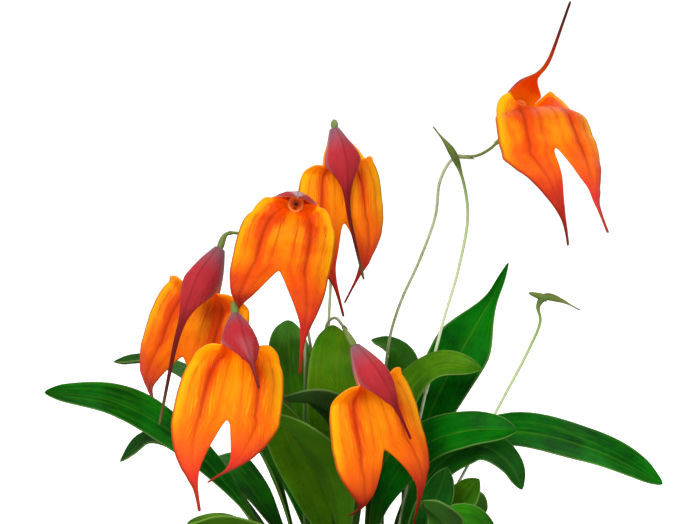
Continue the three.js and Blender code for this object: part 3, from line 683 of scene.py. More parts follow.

# %% [markdown]
# ## The finish of the orange sepals
#
# The two lateral sepals are grown together into the showy orange blade. Its inner face is yellow near
# the mouth and turns orange, then pink-red, towards the tails, and over its first fifth or so it gives
# off painted light, an orange glow that lifts the shade in and round the tube. Three dark veins run down each
# lobe, the middle one in a crease with a warm blush beside it. The skin sparkles with tiny wet-looking
# bumps, called papillae. The outer face is a dusky pink. The numbers are along (from the throat, in
# tenths of a metre), across (from the inner to the outer edge of a lobe), width (of the lobe, in
# tenths of a metre), inner (1 on the inner face), blush (how red this bloom is) and seed (different for
# each bloom, so that no two are streaked alike).


# %% The skin of a sepal
PAPILLAE = 2400  # to a metre


def sepal_skin(finish, streak_scale, cloud_scale):
    """The numbers on a sepal's points, then the streaks, clouds and papillae of its skin."""
    along, across, width, inner, seed = finish.numbers("along", "across", "width", "inner", "seed")
    lengthwise = finish.vector(across * width * 30, along * 1.6, seed)
    streaks = finish.noise(lengthwise, streak_scale, 4, 0.6)
    clouds = finish.noise(finish.place(), cloud_scale, 3, 0.5)
    beads = 1 - finish.cells(finish.place(), PAPILLAE)
    return along, across, width, inner, streaks, clouds, beads


# %% Orange sepal finish: the glow
# The emission strength here is for painted light: an orange glow from the inner face near the throat.
petal = Finish("orange_petal", specular_ior_level=0.07, emission_strength=0.5)
petal_skin = sepal_skin(petal, 7, 70)
petal_along, petal_across, petal_width, petal_inner, petal_streaks, petal_clouds, petal_beads = petal_skin
petal_blush = petal.number("blush")
petal_shift = petal_along + (petal_clouds - 0.5) * 0.1
petal_glow = petal.ramp(
    petal_shift,
    (0.0, "#c87000"), (0.15, "#fba000"), (0.34, "#fb9000"), (0.5, "#f87200"),
    (0.64, "#f0501c"), (0.76, "#d83034"), (0.85, "#a01c20"), (0.95, "#581812"),
)
petal_flush = petal.ramp(
    petal_shift,
    (0.0, "#a03800"), (0.15, "#c83404"), (0.34, "#e24804"), (0.5, "#ea4c08"),
    (0.64, "#e03c20"), (0.76, "#cc2834"), (0.85, "#901820"), (0.95, "#50140f"),
)

# %% Orange sepal finish: the blush beside the veins
MIDDLE_VEIN = 0.5  # where the veins run, as a share of the way across a lobe
SIDE_VEINS = (0.2, 0.8)
petal_wander = petal_streaks - 0.5


def petal_line(place, wander, core, edge):
    """1 on a line that runs down the lobe at that place across it, and 0 past its wandering edge."""
    return 1 - (abs(petal_across - place) * petal_width + petal_wander * wander).to(core, edge)


petal_halo = petal_line(MIDDLE_VEIN, 0.05, 0.004, 0.055) * (1 - petal_along.to(0.3, 0.62) * 0.75)
for place in SIDE_VEINS:
    petal_halo = petal_halo + petal_line(place, 0.04, 0.002, 0.03) * petal_streaks.to(0.35, 0.65) * 0.6
petal_red = petal_halo * 0.9 + petal_blush * (0.25 + petal_streaks * 0.9) * petal_clouds.to(0.3, 0.65)
petal_fade = 1 - petal_along.to(0.34, 0.7)
petal_light = petal_streaks.to(0.52, 0.72) * petal_fade * (1 - petal_halo * 0.8)
petal_shoulder = petal_across.to(0.7, 0.97) * (1 - petal_along.to(0.36, 0.56)) * (1 - petal_halo)

# %% Orange sepal finish: veins and edges
petal_vein = petal_line(MIDDLE_VEIN, 0.008, 0.0, 0.014) * (0.3 + petal_fade * 0.7)
petal_deep = petal_vein * (0.5 + petal_streaks * 0.5)
petal_side_vein = petal_streaks.to(0.3, 0.6) * 0.45 * (1 - petal_along.to(0.3, 0.48))
for place in SIDE_VEINS:
    petal_deep = petal_deep + petal_line(place, 0.006, 0.0, 0.008) * petal_side_vein
petal_side = petal_along.to(0.46, 0.6) * petal_across + (1 - petal_across) * petal_along.to(0.5, 0.66)
petal_margin = 1 - ((0.5 - abs(petal_across - 0.5)) * petal_width + petal_wander * 0.02).to(0.0, 0.035)
petal_rim = 1 - ((1 - petal_across) * petal_width).to(0.0, 0.012)

# %% Orange sepal finish: the layers of colour
petal_face = petal.layers(
    petal_glow,
    (petal_red, petal_flush),
    (petal_light * (0.6 - petal_blush * 0.45), "#ffc000"),
    (petal_shoulder * 0.7, "#ffb600"),
    (petal_deep * 0.8, "#942400"),
    (petal_margin * petal_side * 0.55, "#d8341c"),
    (petal_rim * petal_along.to(0.12, 0.3) * 0.75, "#9c2a0c"),
)
petal_back = petal.ramp(
    petal_along,
    (0.0, "#83606c"), (0.1, "#b06a70"), (0.2, "#e07a3c"),
    (0.5, "#e86c2c"), (0.75, "#cc4640"), (0.92, "#7c2c26"),
)
petal_back = petal.mix(petal_vein * 0.5, petal_back, "#a03a2e")

# %% Orange sepal finish: the relief, and all of it together
petal_relief = petal_beads * 0.22 + petal_streaks * 0.8 + petal_clouds * 0.4
# Painted light: near the throat the inner face glows orange, to lift the shade inside the tube.
petal_painted_throat_light = (1 - petal_along.to(0.14, 0.24)) * petal_inner
petal_material = petal.done(
    base_color=petal.mix(petal_inner, petal_back, petal_face),
    emission_color=petal.mix(petal_painted_throat_light, "#000000", "#ff5a00"),
    roughness=0.42 + petal_streaks * 0.16,
    normal=petal.relief(petal_relief, 0.0005),
)

# %% [markdown]
# ## The finish of the hooded sepals
#
# The dorsal sepal stands over the mouth as a small hood and runs out into a long thread. Its back is
# crimson pink with a darker middle vein and grey-lilac hairs along the edges, its inner face is orange,
# and the thread dries from red-brown to a pale green tip. Where the thread is short, the hood ends in a
# pale cap: lilac-grey skin, made paler still by a painted highlight. The numbers are the blade's, with
# across from -1 to 1 and short for the missing thread.

# %% Hooded sepal finish: the crimson back
hood = Finish("crimson_hood", specular_ior_level=0.08)
hood_skin = sepal_skin(hood, 8, 90)
hood_along, hood_across, hood_width, hood_inner, hood_streaks, hood_clouds, hood_beads = hood_skin
hood_fresh = 1 - hood_along.to(0.28, 0.4)
hood_edge = abs(hood_across).to(0.78, 1.0) * (1 - hood_along.to(0.18, 0.27))
hood_short = hood.number("short").to(0.65, 0.85)
# A pale cap where the thread is short: partly lilac-grey skin, partly a painted highlight.
hood_cap_and_highlight = hood_short * hood_along.to(0.17, 0.25) * (1 - abs(hood_across).to(0.2, 0.55))
hood_vein = 1 - (abs(hood_across) * hood_width).to(0.001, 0.007)
hood_red = hood.ramp(
    hood_along + (hood_clouds - 0.5) * 0.05,
    (0.0, "#80606c"), (0.07, "#a04450"), (0.13, "#b42c36"), (0.27, "#a8242a"),
    (0.34, "#86181c"), (0.44, "#64120e"), (0.62, "#48200c"), (0.78, "#6c7440"),
)
hood_back = hood.layers(
    hood_red,
    (hood_streaks.to(0.45, 0.8) * hood_fresh * 0.4, "#cc4848"),
    (hood_edge * 0.5, "#9a7f90"),
    (hood_cap_and_highlight * 0.85, "#b8a4ac"),
    (hood_vein * 0.4, "#70141c"),
)

# %% Hooded sepal finish: the orange face, and all of it together
hood_face = hood.ramp(
    hood_along,
    (0.0, "#e08400"), (0.14, "#ff9200"), (0.26, "#ff7c00"), (0.38, "#fa6608"),
    (0.5, "#d8400e"), (0.58, "#8a1c10"), (0.7, "#561a10"), (0.78, "#4a2414"),
)
hood_face = hood.mix(hood_streaks.to(0.45, 0.8) * 0.35, hood_face, "#e8501a")
hood_material = hood.done(
    base_color=hood.mix(hood_inner, hood_back, hood_face),
    roughness=0.46 + hood_streaks * 0.14,
    normal=hood.relief(hood_beads * 0.25 + hood_streaks * 0.8, 0.0005),
)

# %% [markdown]
# ## Where the blooms stand
#
# Each bloom has its own axes: forward out of the mouth, up to the hood, and its right. Laid flat, its
# sepals all have the same outline; what differs is how far each part droops, curls, splays or nods.
# Keeping those as named angles lets one pair of functions make all six blooms.

# %% Bloom measures
# All lengths are in millimetres. The tube is the part round the mouth that the sepals share.
TUBE_LENGTH = 18
TUBE_THROAT = 2
TUBE_MOUTH = 7.6
TUBE_FLARE = 1.4
PRESSED_LOWER = 0.4  # how much lower a fully pressed mouth is than a round one
PRESSED_FLATTER = 0.7  # and how much flatter across
SEPAL_LENGTH = 102
HALF_THICKNESS = 0.33

# One lateral sepal laid flat: (across, along) at its outer and at its inner edge, throat to tail.
LATERAL_OUTER = [
    (3.2, 0), (7.7, 6), (11, 12), (13, 17.5), (15.6, 16.8), (18.6, 18.4), (21, 24), (22.3, 33),
    (22.6, 43), (22, 53), (19.8, 62), (17, 70), (15, 77), (14.3, 85), (14.2, 94),
]
LATERAL_INNER = [
    (0, 0), (0, 6), (0, 12), (0, 18), (0, 22.5), (0, 27.5), (0, 33.5), (0, 40),
    (0, 46), (4.8, 53), (9, 61), (11.8, 68), (13, 76), (13.4, 85), (13.5, 94),
]
NOTCH_ROW = 8
UNROLL_ROWS = (2.8, 5.2)  # rows between which the blade unrolls from the tube
# The dorsal sepal laid flat: half its width against the distance from the throat.
DORSAL_OUTLINE = [
    (0, 2.5), (6, 5.9), (12, 8.7), (18, 10.3), (22, 8.4), (26, 5.6),
    (31, 2.9), (37, 1.4), (47, 0.8), (57, 0.55), (68, 0.42), (78, 0.35),
]

# %% The six blooms
# base: the middle of the throat. aim: where the mouth looks. crown: the hood's side. size: the bloom's
# scale. Angles are in degrees.
# droop, sway: how far the blade turns down, and leans to its own right. splay, curl: of the right lobe
# and the left one, how far each leans out and turns on down. nod: how far the hood leans in. tail: how
# far its thread turns up. lean: how far it leans right. press: how flat the mouth is pressed. thread:
# how much of the thread is there. ovary: where the ovary bends off. blush: how red the orange is.
# mouth: how much wider, and how much lower, the column of the bloom that shows it ends.
BLOOMS = [
    {
        "base": (73, 8, 311), "aim": (0.26, -0.48, 0.84), "crown": (-0.39, 0.74, 0.55),
        "droop": 107, "sway": 8, "splay": (-31, -16), "curl": (81, -18),
        "nod": 44, "tail": 39, "lean": 6, "size": 1.07, "press": 0.4, "blush": 0.95, "ovary": (-4.5, 4, -4),
    },
    {
        "base": (-7, -2, 312), "aim": (0.25, -0.31, -0.92), "crown": (0.32, -0.87, 0.38),
        "droop": 13, "sway": 8, "splay": (-13, -13), "curl": (25, 48),
        "nod": 31, "tail": 35, "lean": 3, "size": 0.91, "press": 1, "blush": 0.1, "ovary": (0, 6.5, 2.5),
    },
    {
        "base": (-23, -23, 280), "aim": (-0.01, -0.97, 0.23), "crown": (0.2, 0.23, 0.95),
        "droop": 102, "sway": 2, "splay": (5, 5), "curl": (73, 15),
        "nod": 20, "tail": 60, "lean": -5, "size": 0.94, "press": 1.1, "blush": 1, "thread": 0.15,
        "mouth": (1.6, 1.4),
    },
    {
        "base": (-58, -9, 259), "aim": (-0.41, -0.4, -0.82), "crown": (-0.21, -0.84, 0.51),
        "droop": 31, "sway": 5, "splay": (6, 4), "curl": (52, 0),
        "nod": 6, "tail": -18, "lean": -6, "size": 1.1, "press": 0, "blush": 0.75,
    },
    {
        "base": (-49, -46, 235), "aim": (0.14, -0.8, -0.58), "crown": (0.19, -0.56, 0.81),
        "droop": 23, "sway": 11, "splay": (2, -30), "curl": (-41, -65),
        "nod": 10, "tail": -10, "lean": -10, "size": 1.02, "press": 0, "blush": 0.2, "thread": 0.3,
    },
    {
        "base": (2, -36, 220), "aim": (0.49, -0.38, -0.79), "crown": (0.29, -0.78, 0.55),
        "droop": 15, "sway": 12, "splay": (-2, -3), "curl": (83, 52),
        "nod": 22, "tail": 0, "lean": -5, "size": 0.99, "press": 0, "blush": 0.3, "thread": 0.4,
    },
]


# %% The tube of a bloom
PRESSED_FROM = 5


def tube_radius(v):
    shut = (1 - np.clip(np.asarray(v, float) / TUBE_LENGTH, 0, 1)) ** TUBE_FLARE
    return mixed(TUBE_THROAT, TUBE_MOUTH, 1 - shut)


def pressed(bloom, v):
    """How flat the tube is pressed there."""
    return bloom["press"] * ease(v, PRESSED_FROM, TUBE_LENGTH)


def tube_height(bloom, v):
    return tube_radius(v) * (1 - PRESSED_LOWER * pressed(bloom, v))


def tube_bend(bloom, v):
    """How sharply the sepals curve across there: one over the radius."""
    return 1 / (tube_radius(v) * (1 + PRESSED_FLATTER * pressed(bloom, v)))


# %% Bloom axes and the line of a sepal
STEP = 0.25  # from point to point along a sepal's line
NEARLY_FLAT = 1e-6


def bloom_axes(bloom):
    """Forward out of the mouth, to the bloom's right, and up to its hood."""
    forward = unit(bloom["aim"])
    right = unit(np.cross(forward, bloom["crown"]))
    return forward, right, np.cross(right, forward)


def sepal_placer(bloom, out, turn):
    """Gives the function that places points of a sepal on one side of the tube."""
    forward, right, _ = bloom_axes(bloom)
    v = np.arange(0, SEPAL_LENGTH, STEP)
    slope = np.arcsin((tube_height(bloom, v + STEP) - tube_height(bloom, v)) / STEP)
    angle = (slope + turn(v))[:, None]
    steps = (forward * np.cos(angle) + out * np.sin(angle)) * STEP * bloom["size"]
    start = np.array(bloom["base"], float) + out * TUBE_THROAT * bloom["size"]
    spots = np.vstack([start, start + np.cumsum(steps, axis=0)])
    reached = np.append(v, SEPAL_LENGTH)

    def place(q, v, bend, lift, shift):
        """v along and q across, wrapped to the curvature bend, raised inwards and shifted right."""
        angle = turn(v)[..., None]
        inwards = forward * np.sin(angle) - out * np.cos(angle)
        bend = np.where(np.abs(bend) < NEARLY_FLAT, NEARLY_FLAT, bend)
        sideways = np.sin(q * bend) / bend + shift
        rise = (1 - np.cos(q * bend)) / bend + lift
        spine = np.stack([np.interp(v, reached, spots[:, k]) for k in range(3)], -1)
        moved = right * sideways[..., None] + inwards * rise[..., None]
        return spine + moved * bloom["size"], inwards

    return place


def facing(points, quads, inwards):
    """The quads turned so that their normals look to the sepal's inner side."""
    agree = np.sum(sheet_normals(points, quads) * inwards)
    return quads if agree > 0 else quads[:, ::-1]


# %% [markdown]
# ## The orange blades
#
# A blade starts as half of the tube round the mouth, unrolls past it, arches the other way and splits
# at a rounded notch into two lobes that narrow into tails. We lay a fine net of rows and columns over
# the flat outline, place every point, press in the creases of the veins and thicken the sheet.

# %% A lobe laid flat
LOBE_HEIGHT = 2.2
LOBE_SWELL = [(0, 0.55), (0.25, 0.9), (0.5, 1), (0.75, 0.78), (1, 0)]  # over the lobe, inner to outer
ARCH_RADIUS = 70
LOBE_COLUMNS = 28
CREASES = [(MIDDLE_VEIN, 0.75, 1.5), *[(place, 0.22, 0.8) for place in SIDE_VEINS]]  # place, depth, width
RIPPLE = 0.28
# Stretches along a sepal, from the throat, over which something begins, and then ends.
DROOPS = (8, 34)
CURLS = (42, 84)
SWELLS = ((18, 32), (56, 78))
CREASED = ((10, 20), (52, 80))
RIPPLED = ((24, 36), (68, 82))


def lobe_rows():
    """Row numbers down the outline, closest together where the notch opens."""
    notch = NOTCH_ROW + np.linspace(0, 1, 11)[1:] ** 2
    return np.concatenate([np.linspace(0, NOTCH_ROW, 57), notch, np.linspace(NOTCH_ROW + 1, 14, 39)[1:]])


def lobe_net():
    """A lobe laid flat: its rows, shares of the way across, across at both edges, and along."""
    rows = lobe_rows()
    outline = [list(enumerate(column)) for column in [*zip(*LATERAL_OUTER), *zip(*LATERAL_INNER)]]
    outer_q, outer_v, inner_q, inner_v = [smooth_value(knots, rows)[:, None] for knots in outline]
    past = np.clip(rows - NOTCH_ROW, 0, 1)[:, None]
    opening = LATERAL_INNER[NOTCH_ROW + 1][0] * (0.4 * np.sqrt(past) + 0.6 * past)
    inner_q = np.where(rows[:, None] <= NOTCH_ROW + 1, opening, inner_q)
    t = np.linspace(0, 1, LOBE_COLUMNS + 1)[None, :]
    return rows, t, inner_q, outer_q, mixed(inner_v, outer_v, t)


# %% A lobe's relief
def lobe_lift(t, v, width, luck):
    """How high a lobe's skin stands off its plain bend: a swell, less the creases, and a ripple."""
    lift = LOBE_HEIGHT * smooth_value(LOBE_SWELL, t) * between(v, *SWELLS)
    for place, depth, breadth in CREASES:
        lift = lift - depth * bump((t - place) * width, breadth) * between(v, *CREASED)
    phase = luck.uniform(0, 2 * np.pi, 4)
    ripple = np.sin(v * 0.33 + t * 5 + phase[0]) * np.sin(v * 0.13 - t * 7 + phase[1])
    edge = np.sin(v * 0.45 + phase[2]) + 0.6 * np.sin(v * 0.9 + phase[3])
    return lift + RIPPLE * (ripple + edge * t**4 * 0.8) * between(v, *RIPPLED)


# %% Blade shape
def blade_shape(bloom, luck):
    """The two lobes of a blade: the points of one sheet, its quads and its numbers."""
    up = bloom_axes(bloom)[2]
    rows, t, inner_q, outer_q, v = lobe_net()
    width = (outer_q - inner_q) * np.ones_like(t)
    notch = LATERAL_INNER[NOTCH_ROW][1]
    bend = mixed(tube_bend(bloom, v), -1 / ARCH_RADIUS, ease(rows, *UNROLL_ROWS)[:, None])
    beyond = np.maximum(v - notch, 0)
    beyond = np.where(beyond < 2, beyond**2 / 4, beyond - 1)
    midline = math.tan(math.radians(bloom["sway"])) * np.clip(v - TUBE_LENGTH, 0, notch - TUBE_LENGTH)
    points, inwards, numbers = [], [], {"along": [], "across": [], "width": []}
    index, count, shared = [], 0, int(np.sum(rows <= NOTCH_ROW))
    for side, splay, curl in zip((1, -1), bloom["splay"], bloom["curl"]):

        def turn(v):
            return np.radians(bloom["droop"] * ease(v, *DROOPS) + curl * ease(v, *CURLS))

        lift = lobe_lift(t, v, width, luck)
        q = side * mixed(inner_q, outer_q, t) + midline + side * math.tan(math.radians(splay)) * beyond
        spots, inward = sepal_placer(bloom, -up, turn)(q, v, bend, lift, 0)
        # The second lobe has no points of its own where it meets the first above the notch.
        keep = np.ones(spots.shape[:2], bool)
        keep[:shared, 0] = not index
        numbering = np.zeros(spots.shape[:2], int)
        numbering[keep] = count + np.arange(keep.sum())
        if index:
            numbering[:shared, 0] = index[0][:shared, 0]
        count += int(keep.sum())
        index.append(numbering)
        points.append(spots[keep])
        inwards.append(inward[keep])
        numbers["along"].append(v[keep] / 100)
        numbers["across"].append((t * np.ones_like(v))[keep])
        numbers["width"].append(width[keep] / 100)
    points, inwards = np.concatenate(points), np.concatenate(inwards)
    numbers = {label: np.concatenate(values) for label, values in numbers.items()}
    quads = np.concatenate([grid_quads(index[0]), grid_quads(index[1])[:, ::-1]])
    return points, facing(points, quads, inwards), numbers


# %% From a sheet to a sepal
RIM_INNER = 0.6  # how much of the inner face's colour the rim has


def sepal_piece(name, node, slot, material, shape, bloom, seed):
    """A sepal's piece from its sheet, with the numbers that its finish reads."""
    points, quads, numbers = shape
    made, faces, source = thicken(points, quads, HALF_THICKNESS)
    numbers = {label: values[source] for label, values in numbers.items()}
    inner = np.zeros(len(made))
    inner[: len(points)] = 1
    inner[2 * len(points) :] = RIM_INNER
    numbers.update(inner=inner, blush=bloom["blush"], seed=seed)
    return make_piece(name, node, slot, material, made, faces, numbers)


# %% Make the blades
luck = np.random.default_rng(23)
blades = []
for number, bloom in enumerate(BLOOMS, start=1):
    node = f"bloom_{number}_lateral_sepals"
    shape = blade_shape(bloom, luck)
    name = f"orange_blade_{number}"
    blades.append(sepal_piece(name, node, "lateral_sepal", petal_material, shape, bloom, number * 3.7))
tell("blades", blades)

# %% [markdown]
# ## The hooded sepals
#
# The dorsal sepal closes the top of the tube, leans in over the mouth and narrows into the thread. It
# is the same kind of sheet, with a ridge down its back where the middle vein runs.

# %% Hood shape
HOOD_COLUMNS = 20
HOOD_ROWS = 92
TAIL_RADIUS = 5
THREAD_FROM = 31  # where the hood has narrowed to its thread
TAIL_TURNS = (THREAD_FROM, 55)
NODS = (10, THREAD_FROM)
HOOD_ROLLS = (18, 34)  # where the tube's roundness becomes the tail's
HOOD_CREASED = (4, 14)
RIDGE = 0.35
HOOD_VEIN = 0.18


def hood_shape(bloom, luck):
    """A hood with its thread: the points of one sheet, its quads and its numbers."""
    _, _, up = bloom_axes(bloom)

    def turn(v):
        return np.radians(bloom["tail"] * ease(v, *TAIL_TURNS) - bloom["nod"] * ease(v, *NODS))

    whole = np.linspace(0, DORSAL_OUTLINE[-1][0], HOOD_ROWS)[:, None]
    missing = 1 - bloom.get("thread", 1)
    v = whole - missing * np.maximum(whole - THREAD_FROM, 0)
    t = np.linspace(-1, 1, HOOD_COLUMNS + 1)[None, :]
    half = smooth_value(DORSAL_OUTLINE, whole)
    half = half * np.sqrt(np.clip((DORSAL_OUTLINE[-1][0] + 0.3 - whole) / 1.5, 0.2, 1))
    bend = mixed(tube_bend(bloom, v), 1 / TAIL_RADIUS, ease(v, *HOOD_ROLLS)) * np.ones_like(t)
    q = t * half
    lift = -RIDGE * bump(q, 1) * between(v, HOOD_CREASED, (40, 60))
    for place in (-0.5, 0.5):
        lift = lift - HOOD_VEIN * bump((t - place) * half, 0.8) * between(v, HOOD_CREASED, (22, 32))
    phase = luck.uniform(0, 2 * np.pi, 2)
    ripple = 0.15 * np.sin(v * 0.5 + phase[0]) * np.sin(t * 4 + phase[1])
    lift = lift + ripple * between(v, HOOD_CREASED, (28, 40))
    shift = math.tan(math.radians(bloom["lean"])) * np.maximum(v - TUBE_LENGTH, 0)
    v = v * np.ones_like(t)
    points, inwards = sepal_placer(bloom, up, turn)(q, v, bend, lift, shift)
    index = np.arange(points.shape[0] * points.shape[1]).reshape(points.shape[:2])
    points, inwards = points.reshape(-1, 3), inwards.reshape(-1, 3)
    numbers = {
        "along": v.ravel() / 100,
        "across": (t * np.ones_like(v)).ravel(),
        "width": (half * np.ones_like(v)).ravel() / 100,
        "short": np.full(len(points), missing),
    }
    return points, facing(points, grid_quads(index), inwards), numbers


# %% Make the hoods
hoods = []
for number, bloom in enumerate(BLOOMS, start=1):
    node = f"bloom_{number}_dorsal_sepal"
    shape = hood_shape(bloom, luck)
    name = f"crimson_hood_{number}"
    hoods.append(sepal_piece(name, node, "dorsal_sepal", hood_material, shape, bloom, number * 2.9))
tell("hoods", hoods)

# %% [markdown]
# ## The column and the lip
#
# Deep in the mouth stands the column, a waxy cream rod that carries the pollen, and below it the tiny
# lip, a tongue with a dark tip. Both are hidden in most blooms, but they are what you meet when you look
# into the tube. Two lofts with a round cap make them; a finish fades from cream to wine red. Where a
# column ends in a small cup, the bottom of the cup is painted near black, as painted shade.

# %% Column finish
wax = Finish("waxy_column", specular_ior_level=0.3, coat_weight=0.1, coat_roughness=0.3)
wax_along = wax.number("along")
wax_mottle = wax.noise(wax.place(), 900, 3, 0.6)
# Past 0.715 the colour darkens to near black at the bottom of the cup in the column's end: painted shade.
wax_colour_and_cup_shade = wax.ramp(
    wax_along + (wax_mottle - 0.5) * 0.03,
    (0.0, "#e8b878"), (0.45, "#e08c30"), (0.6, "#cc7014"), (0.66, "#e89850"), (0.685, "#f08420"),
    (0.715, "#e8780f"), (0.738, "#b04c08"), (0.75, "#200804"), (0.8, "#c86a3a"), (1.0, "#8a2c18"),
)
wax_material = wax.done(
    base_color=wax_colour_and_cup_shade,
    roughness=0.35 + wax_mottle * 0.2,
    normal=wax.relief(wax_mottle, 0.0003),
)

# %% Column and lip shape
# Each knot: how far ahead of the throat, how far above its middle line, and the radius.
COLUMN_KNOTS = [(1.6, 0, 1.2), (5, 0.8, 1.7), (9, 1.2, 2.1), (13.5, 0.6, 2.2)]
LIP_KNOTS = [(2.2, -0.2, 0.8), (6, -1.7, 0.9), (10, -2.8, 1.1), (14, -3, 0.8)]
# The cup in the column's end: how far past the end, and the share of the end's girth.
CUP = [(0.2, 0.9), (0.1, 0.72), (-0.8, 0.55), (-1.6, 0.1)]
MOUTH_SPREADS = (5, 13.5)  # where a wider and lower end sets in
CAP_LENGTH = 1.4
ROD_ROWS = 22
ROD_AROUND = 20


def rod(bloom, knots, flat, tones, mouth=None):
    """A round rod through the knots, flattened by that share. It ends in a round cap or a small cup.
    The tones are what the points' number runs from and to."""
    forward, right, up = bloom_axes(bloom)
    ahead, above, radius = np.array(knots, float).T
    wider, lower = mouth or (1, 0)
    above = above - lower * ease(ahead, *MOUTH_SPREADS)
    radius = radius * (1 + (wider - 1) * ease(ahead, *MOUTH_SPREADS))
    x = np.linspace(ahead[0], ahead[-1], ROD_ROWS)
    rise = smooth_value(list(zip(ahead, above)), x)
    girth = smooth_value(list(zip(ahead, radius)), x)
    if mouth:
        past, share = np.array(CUP).T
        x = np.append(x, ahead[-1] + past)
        rise = np.append(rise, np.full(len(CUP), rise[-1]))
        girth = np.append(girth, girth[-1] * share)
    else:
        cap = np.clip((x - ahead[-1]) / CAP_LENGTH + 1, 0, 1)
        girth = girth * np.sqrt(np.maximum(1 - cap**2, 0.01))
    angle = np.linspace(0, 2 * np.pi, ROD_AROUND, endpoint=False)
    base = np.array(bloom["base"], float)
    spots = base + (forward * x[:, None] + up * rise[:, None]) * bloom["size"]
    rings = spots[:, None] + circle(angle, right, up * flat) * girth[:, None, None]
    return *loft(rings), {"along": np.repeat(np.linspace(*tones, len(x)), ROD_AROUND)}


# %% Make the columns and lips
COLUMN_TONES = (0, 0.75)
LIP_TONES = (0.8, 1)
columns = []
for number, bloom in enumerate(BLOOMS, start=1):
    column = rod(bloom, COLUMN_KNOTS, 1.1, COLUMN_TONES, bloom.get("mouth", (1, 0)))
    lip = rod(bloom, LIP_KNOTS, 0.6, LIP_TONES)
    node = f"bloom_{number}_column"
    columns.append(make_piece(f"column_and_lip_{number}", node, "column", wax_material, *joined(column, lip)))
tell("columns", columns)

# %% [markdown]
# ## The flower stalks
#
# A scape is a thin wiry stalk, pale green with wine-coloured flecks. Above a small sheathing bract it
# ends in a ribbed, olive ovary that carries the tube. A bud is the same stalk with a long closed bud at
# its top, whose three seams show where the sepals will part. A tube with its own radius at every ring
# and at every angle gives all of these shapes.

# %% Stalk finish
stalk = Finish("wiry_stalk", specular_ior_level=0.2)
stalk_along, stalk_around, stalk_dry = stalk.numbers("along", "around", "dry")
stalk_place = stalk.place()
stalk_clouds = stalk.noise(stalk_place, 120, 3, 0.6)
# Painted shade: the stalk is a darker green below about 0.2 m, where it stands among the leaves.
stalk_painted_shade_low = 1 - stalk.height().to(0.195, 0.225)
stalk_flecks = 1 - stalk.cells(stalk_place, 1300).to(0.12, 0.3)
stalk_ribs = stalk.noise(stalk.vector(stalk_around * 6, stalk_along * 20, 0), 3, 2)
stalk_colour = stalk.layers(
    stalk.mix(stalk_clouds.to(0.35, 0.7), "#b4c68a", "#d5dfb8"),
    ((1 - stalk_along.to(0.2, 0.42)) * 0.9, "#6c8430"),
    (stalk_painted_shade_low * 0.85, "#4a7420"),
    (stalk_flecks * stalk_clouds.to(0.5, 0.62) * 0.6, "#7c3b3a"),
    (stalk_dry, stalk.mix(stalk_clouds.to(0.3, 0.7), "#8f9a5c", "#b9bf88")),
)
stalk_material = stalk.done(
    base_color=stalk_colour,
    roughness=0.42 + stalk_clouds * 0.2,
    normal=stalk.relief(stalk_ribs, 0.0003),
)

# %% Bud finish
bud = Finish("olive_bud", specular_ior_level=0.2, sheen_weight=0.15)
bud_along, bud_seam = bud.numbers("along", "seam")
bud_clouds = bud.noise(bud.place(), 300, 4, 0.6)
bud_green = bud.ramp(
    bud_along + (bud_clouds - 0.5) * 0.05,
    (0.0, "#6d4b2c"), (0.06, "#7a7a3e"), (0.12, "#5f7a2c"), (0.2, "#4c6a22"),
    (0.28, "#7d9a4c"), (0.45, "#a9c184"), (1.0, "#d0ddb4"),
)
bud_spots = bud_clouds.to(0.55, 0.75) * 0.35
bud_material = bud.done(
    base_color=bud.layers(bud_green, (bud_seam * 0.5, "#5a3a2a"), (bud_spots, "#9c5a44")),
    roughness=0.45 + bud_clouds * 0.15,
    normal=bud.relief(bud_clouds, 0.0003),
)

# %% Stalk measures
SCAPE_RADIUS = 0.7
OVARY_LENGTH = 8
INTO_THROAT = 1
OVARY_PROFILE = [(0, 0.9), (2.5, 1.5), (6, 1.35), (10, 0.7)]
BUD_BRACT = 125  # how far a bud's bract is from its tip
BUD_PROFILE = [(0, 0.35), (5, 0.45), (9, 1), (14, 1.75), (19, 1.6), (23, 1), (26, 0.7)]
# path: points between the first straight stretch and the ovary, or the bud's tip. bract: how far it is
# from the top. spur: points along the small point that stands off a bud.
SCAPES = [
    shoot(
        (15, 13), (16, 20, 184), (18, 22, 211), (23, 22, 229), (32, 20, 250), (39, 16, 271),
        (41, 12, 288), (47, 10, 298), (57, 10, 299), (63, 10, 302), bract=28,
    ),
    shoot((-3, 14), (-9, 30, 180), (-10, 33, 215), (-9, 30, 240), (-9, 20, 271), (-8, 8, 303), bract=30),
    shoot((-15, 12), (-16, 22, 180), (-19, 25, 213), (-26, 18, 241), (-29, 4, 262), bract=30),
    shoot((-20, 0), (-21, -4, 160), (-20.5, 1, 213), (-23, 0, 245), (-41, -3, 262), bract=26),
    shoot((-19, -12), (-18, -5, 158), (-25, -8, 182), (-37, -24, 207), (-46, -33, 222), bract=26),
    shoot(
        (-8, 10), (-12, 20, 176), (-12, 22, 202), (-11, 20, 219), (-7, 6, 225.5), (-3, -14, 225),
        bract=16,
    ),
]
BUD_SCAPES = [
    shoot((17, 1), (32, 5, 179), (42, 4, 223), (49, 4, 248), (53, 4, 275), (47, 2, 299), (37, 0, 313)),
    shoot(
        (25, 0), (41, -1, 133), (56, -4, 164), (69, -2, 189), (81, 0, 212), (86, 0, 225), (85, 0, 232),
        (88, 0, 236), (95, 0, 234.5), (104, 0, 230),
        spur=[(89, 0, 235.4), (85, 0, 236.6), (80.5, 0, 238)],
    ),
]


# %% Stalk shape
def frames(line, distance):
    """Points along a line with two directions across it that don't twist on the way."""
    spots, tangents = line.at(distance), line.direction(distance)
    side = np.array([1.0, 0, 0])
    sides = []
    for tangent in tangents:
        side = unit(side - tangent * side.dot(tangent))
        sides.append(side)
    sides = np.array(sides)
    return spots, sides, np.cross(tangents, sides)


